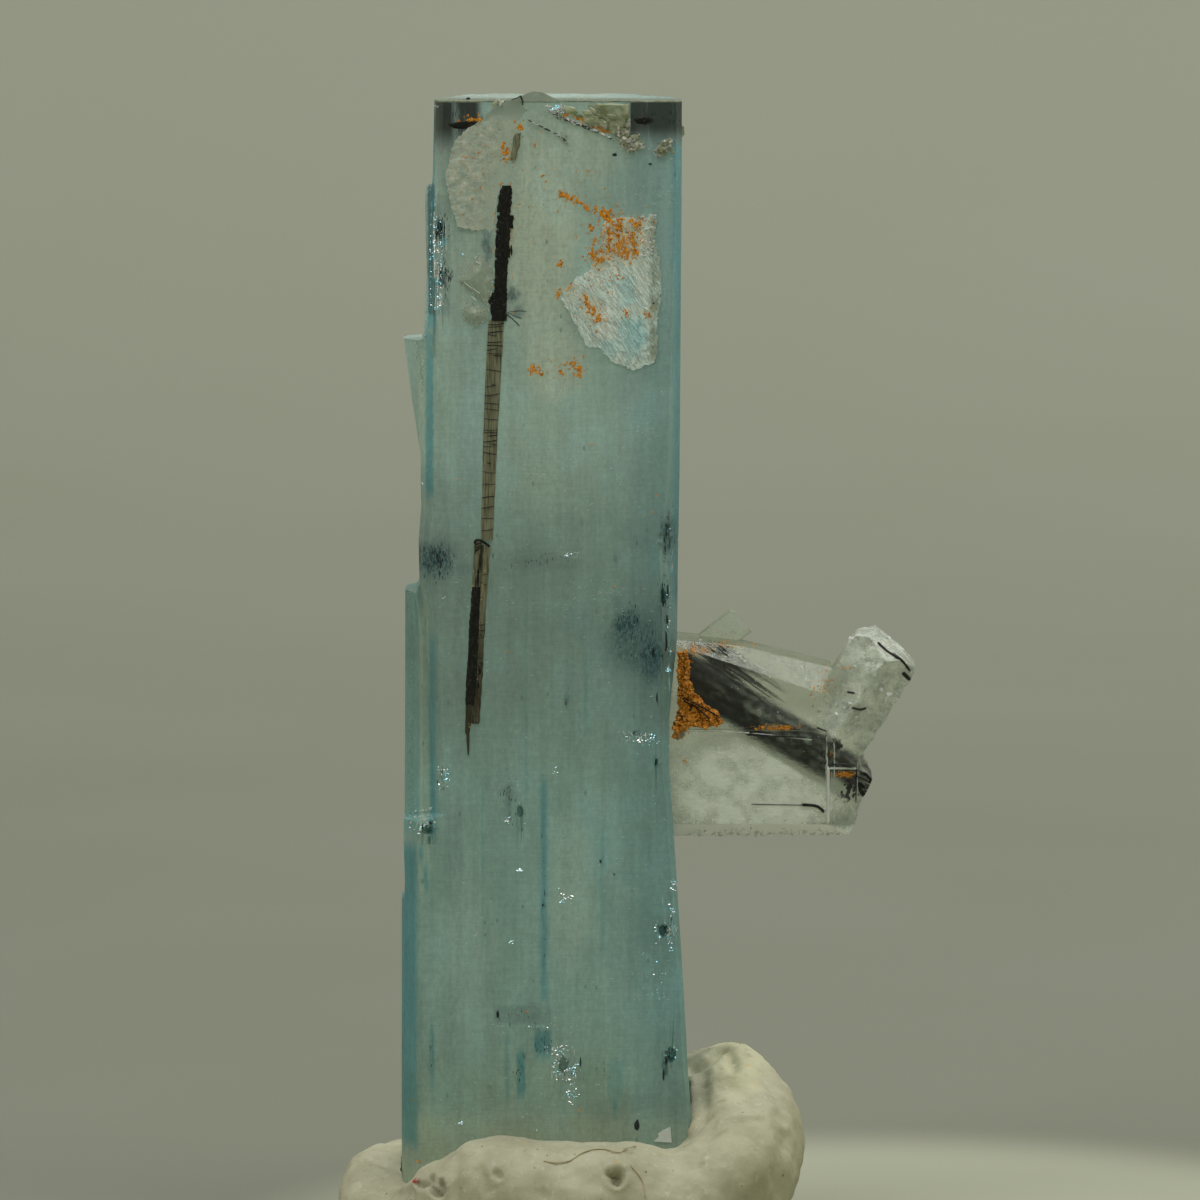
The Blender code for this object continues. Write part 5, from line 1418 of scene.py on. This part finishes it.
def build_top_grains(tufts, block):
    """Pale tufts and a yellowish block along the top right of the front face."""
    rng = random.Random(71)
    bm = bmesh.new()
    for x, z, half_width, half_height, count in (
        (3.1, 44.6, 0.22, 0.4, 60), (3.3, 44.2, 0.36, 0.24, 60), (3.62, 44.1, 0.26, 0.3, 50),
        (4.6, 44.0, 0.42, 0.26, 60), (4.9, 44.24, 0.14, 0.12, 16), (0.6, 45.2, 0.3, 0.1, 10),
        (0.8, 44.4, 0.1, 0.3, 12), (3.3, 45.0, 0.06, 0.4, 14), (-1.8, 45.8, 0.2, 0.08, 12),
    ):
        for _ in range(count):
            spot = (
                x + rng.gauss(0, 0.5) * half_width, FRONT_Y - rng.uniform(0.0, 0.12),
                z + rng.gauss(0, 0.5) * half_height
            )
            size = 0.03 + 0.12 * rng.random() ** 1.5
            shard(bm, spot, (size, size * 0.3, size * rng.uniform(0.7, 1.7)), rng, 7, random_turn(rng))
    make_piece("pale_tufts", bm, tufts, ["pale_grains"])
    bm = bmesh.new()
    hull(bm, (
        (1.7, FRONT_Y, 45.7), (2.6, FRONT_Y, 45.82), (3.34, FRONT_Y, 45.74), (3.32, FRONT_Y, 44.9),
        (2.8, FRONT_Y, 44.5), (2.3, FRONT_Y, 44.8), (2.62, FRONT_Y - 0.16, 45.74), (3.24, FRONT_Y - 0.08, 45.7),
        (3.1, FRONT_Y - 0.14, 45.0),
    ))
    for x, z in scattered_inside(BLOCK_OUTLINE, 26, rng):
        size = rng.uniform(0.12, 0.4)
        depth = FRONT_Y - rng.uniform(0.02, 0.12)
        shard(bm, (x, depth, z), (size, 0.05, size * rng.uniform(0.3, 0.8)), rng, 10, leaning(rng.gauss(24, 30)))
    hull(bm, (
        (5.34, FRONT_Y + 0.4, 44.9), (5.5, FRONT_Y + 0.6, 44.84), (5.52, FRONT_Y + 0.6, 44.5), (5.36, FRONT_Y + 0.4, 44.4),
        (5.3, FRONT_Y + 0.9, 44.7),
    ))
    make_piece("yellowish_block", bm, block)


def build_laths(black, lath):
    """Silvery laths below the top edge, and the dark specks there."""
    rng = random.Random(73)
    bm = bmesh.new()
    for start, end, half_width, count in (
        ((0.4, 45.34), (2.0, 44.72), 0.13, 34), ((1.9, 44.76), (2.7, 44.38), 0.07, 14),
        ((-0.68, 45.16), (0.4, 44.6), 0.05, 16), ((0.4, 44.62), (0.96, 44.24), 0.07, 10),
    ):
        slope = math.degrees(math.atan2(start[1] - end[1], end[0] - start[0]))
        for i in range(count):
            share = (i + rng.random()) / count
            x = start[0] + (end[0] - start[0]) * share
            z = start[1] + (end[1] - start[1]) * share + rng.uniform(-0.5, 0.5) * half_width
            size = rng.uniform(0.07, 0.16)
            turn = leaning(slope + rng.gauss(0, 8)) @ Matrix.Rotation(rng.gauss(-0.5, 0.5), 3, "X")
            shard(bm, (x, FRONT_Y - 0.05, z), (size, 0.03, half_width * rng.uniform(0.3, 0.7)), rng, 8, turn)
    make_piece("silvery_laths", bm, lath)
    bm = bmesh.new()
    shard(bm, (-3.26, FRONT_Y, 44.93), (0.66, 0.05, 0.19), rng, 14)
    shard(bm, (-2.9, FRONT_Y, 44.98), (0.5, 0.05, 0.13), rng, 14)
    shard(bm, (3.85, FRONT_Y, 45.12), (0.42, 0.04, 0.2), rng, 14)
    tube(bm, curve_through([(-0.95, -3.5, 46.1), (-0.88, -3.52, 45.9), (-0.86, -3.53, 45.72)]), 0.03)
    tube(bm, curve_through([(-1.3, -3.5, 45.94), (-1.1, -3.53, 46.0), (-0.94, -3.5, 46.1)]), 0.02)
    make_piece("dark_top_spots", bm, black)


def close_tunnel(bm):
    """The frame's cluster has a tunnel for the schorl prism; here the clear crystal closes round it."""
    inside = []
    for face in bm.faces:
        centre = face.calc_center_median()
        along_axis = (centre - SCHORL_FOOT).dot(SCHORL_AXIS)
        to_axis = SCHORL_FOOT + SCHORL_AXIS * along_axis - centre
        if to_axis.length < 1.15 and face.normal.dot(to_axis.normalized()) > 0.6:
            inside.append(face)
    bmesh.ops.delete(bm, geom=inside, context="FACES")
    bmesh.ops.holes_fill(bm, edges=[edge for edge in bm.edges if edge.is_boundary])


def build_cluster():
    """The side crystals, with broken, uneven faces where they are hazy."""
    rng = random.Random(95)
    bm = copied_solid("clear_crystal_cluster")
    bm.normal_update()
    close_tunnel(bm)
    for vert in bm.verts:
        if vert.co.x < 5.6:
            vert.co.x += between(RIGHT_SHIFTS, vert.co.z) - 0.2
    bmesh.ops.dissolve_limit(bm, angle_limit=math.radians(0.2), verts=bm.verts, edges=bm.edges)
    slice_up(bm, 0, grid(4.0, 14.7, 0.28, rng))
    slice_up(bm, 2, grid(16.5, 25.1, 0.28, rng))
    for vert in bm.verts:
        broken = max(0.0, min(1.0, (vert.co.x - 11.6) / 0.8)) * max(0.0, min(1.0, (vert.co.z - 19.5) / 1.0))
        shift = noise.noise_vector(vert.co / 0.26) * (0.012 + 0.10 * broken)
        if 5.0 < vert.co.x < 14.6 and vert.co.z > 16.6:
            vert.co += shift
    return make_piece("clear_cluster", bm, cluster_material(), ["clear_crystal_cluster"])


def build_cluster_details(surface, chips, black, iron):
    """Fractures, glints, veins and dark marks in and on the side crystals."""
    rng = random.Random(97)
    bm = bmesh.new()
    for *zone, count, size in CLEAR_GLINTS:
        for spot in scattered(surface, zone, count, rng, "loose"):
            grain = size * (0.15 + 0.85 * rng.random() ** 2)
            spot = spot + Vector((0, rng.uniform(-0.01, 0.5), 0))
            if rng.random() < 0.5:
                glint(bm, spot, grain, rng.uniform(0.4, 2.0), rng)
            else:
                shard(bm, spot, (grain, grain * 0.3, grain * rng.uniform(0.4, 2.0)), rng, 7, random_turn(rng))
    for _ in range(150):
        spot = seen_on(surface, rng.uniform(5.6, 12.2), 16.72 + rng.gauss(0, 0.08))
        if spot:
            glint(bm, spot + Vector((0, -0.02, 0)), rng.uniform(0.03, 0.12), rng.uniform(0.3, 0.7), rng)
    for x in (11.26, 12.42):
        ends = [seen_on(surface, x, z) for z in (17.1, 19.45)]
        if all(ends):
            rod(bm, *(end + Vector((0, -0.02, 0)) for end in ends), 0.06, sides=6, tip=0.05)
    ends = [seen_on(surface, x, 19.36) for x in (11.3, 12.4)]
    if all(ends):
        rod(bm, *(end + Vector((0, -0.03, 0)) for end in ends), 0.045, sides=6, tip=0.05)
    seam = [(5.6, 20.84), (7.0, 20.84), (8.4, 20.76), (9.6, 20.62), (10.6, 20.5)]
    for start, end in zip(seam, seam[1:]):
        for _ in range(26):
            share = rng.random()
            spot = seen_on(surface, start[0] + (end[0] - start[0]) * share, start[1] + (end[1] - start[1]) * share)
            if spot:
                shard(bm, spot, (rng.uniform(0.06, 0.16), 0.02, rng.uniform(0.015, 0.04)), rng, 7, leaning(3))
    for x, low, high in ((11.2, 17.2, 20.6), (11.5, 17.3, 20.4), (12.42, 17.3, 19.7), (12.6, 17.2, 19.4)):
        for _ in range(46):
            spot = seen_on(surface, x + rng.gauss(0, 0.016), rng.uniform(low, high))
            if spot:
                shard(bm, spot, (rng.uniform(0.01, 0.03), 0.015, rng.uniform(0.08, 0.3)), rng, 7)
    make_piece("cluster_fractures", bm, chips)
    bm = bmesh.new()
    for path, radius in (
        (((13.2, 24.42), (13.6, 24.05), (14.1, 23.72), (14.5, 23.26)), 0.05),
        (((13.8, 23.98), (14.2, 23.66), (14.5, 23.26)), 0.045),
        (((12.0, 22.42), (12.3, 22.38)), 0.045), (((12.2, 21.8), (12.5, 21.72), (12.76, 21.78)), 0.045),
        (((10.2, 17.9), (10.8, 17.84), (11.1, 17.6)), 0.06), (((8.2, 17.92), (9.4, 17.9), (10.4, 17.88)), 0.015),
        (((11.5, 17.1), (12.0, 17.2), (12.4, 16.9)), 0.05), (((12.36, 18.0), (12.38, 19.4)), 0.03),
        (((10.8, 21.0), (11.2, 20.84)), 0.03), (((11.3, 19.52), (12.36, 19.5)), 0.05), (((14.2, 23.2), (14.5, 22.9)), 0.08),
        (((8.0, 20.72), (9.0, 20.66), (10.4, 20.6)), 0.035),
    ):
        places = [seen_on(surface, x, z) for x, z in path]
        if all(places):
            tube(bm, [place + Vector((0, -0.01, 0)) for place in curve_through(places)], radius)
    for x, z, half_width, half_height in ((12.1, 18.6, 0.3, 0.34), (11.9, 18.2, 0.24, 0.2), (11.6, 20.3, 0.24, 0.2)):
        for spot in scattered(surface, (x, z, half_width, half_height), 26, rng, "loose"):
            shard(bm, spot + Vector((0, 0.05, 0)), (0.09, 0.03, rng.uniform(0.05, 0.14)), rng, 8)
    make_piece("cluster_dark_marks", bm, black)
    bm = bmesh.new()
    for x, z, half_width, half_height, count in (
        (11.9, 19.12, 0.42, 0.12, 130), (9.2, 21.0, 0.8, 0.1, 190), (11.4, 19.9, 0.1, 0.2, 12),
        (5.6, 19.62, 0.1, 0.14, 14), (7.0, 24.25, 0.8, 0.14, 50), (8.2, 24.3, 0.3, 0.08, 12),
        (11.2, 22.9, 0.6, 0.5, 26), (12.0, 23.4, 0.3, 0.1, 10), (12.9, 20.0, 0.1, 0.3, 10),
        (6.0, 24.1, 0.5, 0.25, 110), (7.0, 24.4, 0.5, 0.1, 30), (10.9, 22.5, 0.4, 0.3, 40),
    ):
        for spot in scattered(surface, (x, z, half_width, half_height), count, rng, "loose"):
            size = rng.uniform(0.012, 0.045)
            shard(bm, spot, (size * 1.5, size * 0.5, size), rng, 7, random_turn(rng))
    make_piece("cluster_rust", bm, iron)


def build_schorl_prism():
    """A ribbed prism, flat where it is broken at its right end."""
    rng = random.Random(79)
    sides = 42
    ribs = [(1.0 if i % 14 < 5 else 0.93) + rng.uniform(-0.03, 0.03) for i in range(sides)]
    side = SCHORL_AXIS.cross(Vector((0, 0, 1))).normalized()
    up = side.cross(SCHORL_AXIS).normalized()
    rings = []
    for (near, near_radius), (far, far_radius) in zip(SCHORL_STATIONS, SCHORL_STATIONS[1:]):
        for step in range(8):
            share = step / 8
            centre = SCHORL_FOOT + SCHORL_AXIS * (near + (far - near) * share)
            radius = near_radius + (far_radius - near_radius) * share
            ring = []
            for i, rib in enumerate(ribs):
                angle = math.tau * i / sides
                reach = radius * (rib + rng.uniform(-0.025, 0.015))
                ring.append(centre + (side * math.cos(angle) + up * math.sin(angle)) * reach)
            rings.append(ring)
    bm = bmesh.new()
    loft(bm, rings)
    for normal, shift in SCHORL_END_FACES:
        cut_off(bm, SCHORL_FOOT + SCHORL_AXIS * SCHORL_END + Vector(shift), Vector(normal).normalized())
    cut_off(bm, Vector((5.42, 0, 0)), Vector((-1, 0, 0)))
    make_piece("schorl_prism_ribbed", bm, schorl_prism_material(), ["schorl_prism"])


def build_fan_needles(black):
    """Fine schorl needles that fan out beside the thick prism."""
    rng = random.Random(83)
    bm = bmesh.new()
    for _ in range(64):
        start = Vector((5.9 + rng.uniform(0, 1.2), -1.9 + rng.uniform(-0.2, 0.4), 24.0 + rng.uniform(-0.6, 0.2)))
        slope = rng.uniform(-0.66, -0.5)
        length = 0.6 + 2.8 * rng.random() ** 1.5
        end = start + Vector((length * 0.86, rng.uniform(-0.1, 0.3), length * slope))
        rod(bm, start, end, rng.uniform(0.010, 0.034), sides=5, tip=0.15, rng=rng)
    make_piece("fan_needles", bm, black)


def build_crust(crust, iron, black):
    """Earthy rust that fills the corner, in a cracked sheet under loose grains."""
    rng = random.Random(89)
    bm = bmesh.new()
    flat_plate(bm, ragged(CRUST_OUTLINE, 0.14, 0.05, rng), CRUST_Y, CRUST_Y + 0.5)
    slice_up(bm, 0, grid(5.1, 7.1, 0.1, rng))
    slice_up(bm, 2, grid(20.4, 23.9, 0.1, rng))
    for vert in bm.verts:
        if vert.co.y < CRUST_Y + 0.01:
            broad = noise.fractal(vert.co / 0.5, 0.7, 2.0, 4)
            fine = noise.fractal(vert.co / 0.14 + Vector((7, 7, 7)), 0.7, 2.0, 3)
            vert.co.y += 0.10 - 0.16 * broad - 0.05 * fine
    for x, z in scattered_inside(CRUST_OUTLINE, 170, rng):
        size = rng.uniform(0.03, 0.11)
        lump(bm, (x, CRUST_Y - rng.uniform(-0.06, 0.08), z), (size, size * 0.7, size), rng, 2, rough=0.5, size=0.4)
    make_piece("crust", bm, crust, ["iron_crust"])
    bits = bmesh.new()
    for x, z in scattered_inside(CRUST_OUTLINE, 240, rng):
        spot = (x + rng.gauss(0, 0.05), CRUST_Y - rng.uniform(0.0, 0.14), z + rng.gauss(0, 0.05))
        size = rng.uniform(0.02, 0.055)
        shard(bits, spot, (size, size, size), rng, 7)
    make_piece("crust_grains", bits, iron)
    bm = bmesh.new()
    for path in (
        ((5.5, 22.1), (5.7, 22.0), (6.3, 21.7), (6.9, 21.35)), ((5.5, 22.1), (5.56, 21.95), (6.1, 21.7)),
        ((5.9, 21.9), (5.74, 21.55)), ((6.0, 21.7), (6.4, 21.4), (6.5, 21.2)), ((5.5, 23.4), (5.58, 23.2)),
    ):
        points = curve_through([(x, CRUST_Y - 0.12, z) for x, z in path])
        tube(bm, points, 0.03)
    make_piece("crust_twigs", bm, black)


def remeshed(name, bm, voxel):
    """The solid of a bmesh, covered evenly by small faces."""
    mesh = bpy.data.meshes.new(name)
    bmesh.ops.triangulate(bm, faces=bm.faces)
    bm.to_mesh(mesh)
    bm.free()
    source = bpy.data.objects.new(name, mesh)
    bpy.context.scene.collection.objects.link(source)
    remesh = source.modifiers.new("fine", "REMESH")
    remesh.mode = "VOXEL"
    remesh.voxel_size = voxel
    evaluated = source.evaluated_get(bpy.context.evaluated_depsgraph_get())
    bm = bmesh.new()
    bm.from_mesh(evaluated.to_mesh())
    evaluated.to_mesh_clear()
    bpy.data.objects.remove(source)
    return bm


def pressed_creases(bm):
    """Presses the creases into the putty, with a low lip beside each."""
    surface = BVHTree.FromBMesh(bm)
    marks = []
    for path, width, depth in PUTTY_CREASES:
        for point in curve_through([(x, 0, z) for x, z in path], 10):
            spot = seen_on(surface, point.x, point.z)
            if spot:
                marks.append((spot, width, depth))
    tree = KDTree(len(marks))
    for i, (spot, _, _) in enumerate(marks):
        tree.insert(spot, i)
    tree.balance()
    for vert in bm.verts:
        _, i, distance = tree.find(vert.co)
        _, width, depth = marks[i]
        away = distance / width
        if away < 3.5:
            vert.co -= vert.normal * depth * (math.exp(-away * away) - 0.14 * math.exp(-((away - 1.9) ** 2) * 2))


def hug(bm, node):
    """Draws a soft mesh onto a solid that it is wound round, where it all but touches it."""
    solid = copied_solid(node)
    surface = BVHTree.FromBMesh(solid)
    solid.free()
    for vert in bm.verts:
        place, _, _, distance = surface.find_nearest(vert.co, HUG_REACH)
        if place:
            vert.co = vert.co.lerp(place, min(1.0, 1.6 * (1 - distance / HUG_REACH)))


def build_putty(putty):
    """The kneaded putty: the frame's solid, remeshed finely, with dents, creases and folds."""
    bm = remeshed("putty_source", copied_solid("mounting_putty"), PUTTY_VOXEL)
    for _ in range(6):
        bmesh.ops.smooth_vert(
            bm, verts=bm.verts, factor=0.5, use_axis_x=True, use_axis_y=True, use_axis_z=True
        )
    for vert in bm.verts:
        for x, half_width, rise in PUTTY_ROLL:
            near = max(0.0, 1 - abs(vert.co.x - x) / half_width)
            in_front = max(0.0, min(1.0, (-2.6 - vert.co.y) / 1.2))
            up = max(0.0, min(1.0, (vert.co.z - 1.0) / 2.5))
            vert.co.z += rise * near * near * (3 - 2 * near) * in_front * up
        at_left = max(0.0, min(1.0, (-4.6 - vert.co.x) / 1.2)) * max(0.0, min(1.0, (vert.co.y + 4.6) / 1.5))
        vert.co.z -= PUTTY_LEFT_DROP * at_left * max(0.0, min(1.0, (vert.co.z - 1.5) / 3.0))
    hug(bm, "aquamarine_crystal")
    bm.normal_update()
    pressed_creases(bm)
    bm.normal_update()
    for vert in bm.verts:
        if vert.co.z < 0.25:
            vert.co.z = max(vert.co.z, 0.0)
            continue
        broad = noise.fractal(vert.co / 1.8, 0.8, 2.0, 3)
        folds = noise.fractal(Vector((vert.co.x, vert.co.y, vert.co.z * 0.35)) / 0.9 + Vector((3, 3, 3)), 0.8, 2.0, 3)
        fine = noise.fractal(vert.co / 0.4 + Vector((9, 9, 9)), 0.7, 2.0, 3)
        vert.co += vert.normal * (0.09 * broad + 0.05 * folds + 0.022 * fine)
    return make_piece("putty", bm, putty, ["mounting_putty"], smooth=True)


def build_hairs(surface):
    """Fine hairs that lie on the putty, and a crumb of red."""
    bm = bmesh.new()
    for path in HAIRS:
        places = [seen_on(surface, x, z) for x, z in path]
        tube(bm, curve_through([place + Vector((0, -0.03, 0.02)) for place in places if place]), 0.024)
    hair = plain_colour_material("hair", (0.42, 0.34, 0.18), (0.55, 0.47, 0.28), 0.4)
    make_piece("hairs", bm, hair)
    rng = random.Random(101)
    bm = bmesh.new()
    for spot in scattered(surface, (-5.22, 2.66, 0.12, 0.1), 12, rng, "loose"):
        shard(bm, spot, (0.06, 0.05, 0.07), rng, 8, random_turn(rng))
    red = plain_colour_material("red_crumb", (0.42, 0.05, 0.04), (0.62, 0.16, 0.12), 0.6)
    make_piece("red_crumb", bm, red)


# The studio

def build_stage():
    bm = bmesh.new()
    profile = [(0.0, 0.0), (60.0, 0.0)]
    for i in range(25):
        share = i / 24
        profile.append((FLAT_RADIUS + (BOWL_RADIUS - FLAT_RADIUS) * share, BOWL_RISE * share ** 5))
    profile.append((BOWL_RADIUS, BOWL_HEIGHT))
    verts = [bm.verts.new((radius, 0, z)) for radius, z in profile]
    edges = [bm.edges.new(pair) for pair in zip(verts, verts[1:])]
    bmesh.ops.spin(
        bm, geom=verts + edges, cent=(0, 0, 0), axis=(0, 0, 1), angle=math.tau, steps=96, use_duplicate=False
    )
    bmesh.ops.remove_doubles(bm, verts=bm.verts, dist=1e-3)
    bmesh.ops.scale(bm, vec=(MM, MM, MM), verts=bm.verts)
    mesh = bpy.data.meshes.new("backdrop")
    bm.to_mesh(mesh)
    bm.free()
    mesh.shade_smooth()
    mesh.materials.append(stage_material())
    obj = bpy.data.objects.new("backdrop", mesh)
    bpy.context.scene.collection.objects.link(obj)


def build_lights():
    middle = Vector((0, 0, 25))
    for name, place, size, power, colour in LIGHTS:
        data = bpy.data.lights.new(name, "AREA")
        data.size = size * MM
        data.energy = power
        data.color = colour
        obj = bpy.data.objects.new(name, data)
        obj.location = Vector(place) * MM
        obj.rotation_mode = "QUATERNION"
        obj.rotation_quaternion = (middle - Vector(place)).to_track_quat("-Z", "Y")
        bpy.context.scene.collection.objects.link(obj)
    world = bpy.data.worlds.new("world")
    world.use_nodes = True
    world.node_tree.nodes["Background"].inputs[0].default_value = (0.9, 0.95, 1.0, 1)
    world.node_tree.nodes["Background"].inputs[1].default_value = 0.2
    bpy.context.scene.world = world


def build_camera():
    data = bpy.data.cameras.new("camera")
    data.lens = data.sensor_width * VIEW_DISTANCE / VIEW_WIDTH
    data.clip_start = 0.01
    data.clip_end = 10.0
    camera = bpy.data.objects.new("camera", data)
    camera.location = (VIEW_TARGET + VIEW_BACK * VIEW_DISTANCE) * MM
    camera.rotation_mode = "QUATERNION"
    camera.rotation_quaternion = (-VIEW_BACK).to_track_quat("-Z", "Y")
    bpy.context.scene.collection.objects.link(camera)
    bpy.context.scene.camera = camera


def set_rendering():
    scene = bpy.context.scene
    scene.view_settings.view_transform = "Standard"
    scene.cycles.use_denoising = True
    scene.cycles.max_bounces = 7
    scene.cycles.transmission_bounces = 6
    scene.cycles.glossy_bounces = 3
    scene.cycles.diffuse_bounces = 2


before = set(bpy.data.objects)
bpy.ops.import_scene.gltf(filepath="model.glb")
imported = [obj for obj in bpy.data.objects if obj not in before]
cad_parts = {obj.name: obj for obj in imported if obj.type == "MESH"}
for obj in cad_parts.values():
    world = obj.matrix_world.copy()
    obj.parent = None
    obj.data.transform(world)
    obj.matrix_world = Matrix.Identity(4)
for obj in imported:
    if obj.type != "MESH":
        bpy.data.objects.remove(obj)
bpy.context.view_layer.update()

glass = glass_material()
chips = chip_material()
black = schorl_material()
iron = iron_material()

front = surface_of(build_aquamarine(), build_rind(rind_material()), build_mica(mica_material()))
build_needles(black, smoky_material())
build_slivers(front)
build_sparkles(front)
build_chips(front, chips)
build_iron(iron, front)
build_clear_grains(glass, chips)
build_top_grains(tuft_material(), block_material())
build_laths(black, lath_material())
build_cluster_details(surface_of(build_cluster()), chips, black, iron)
build_schorl_prism()
build_fan_needles(black)
build_crust(crust_material(), iron, black)
build_hairs(surface_of(build_putty(putty_material())))
build_stage()
build_lights()
build_camera()
set_rendering()
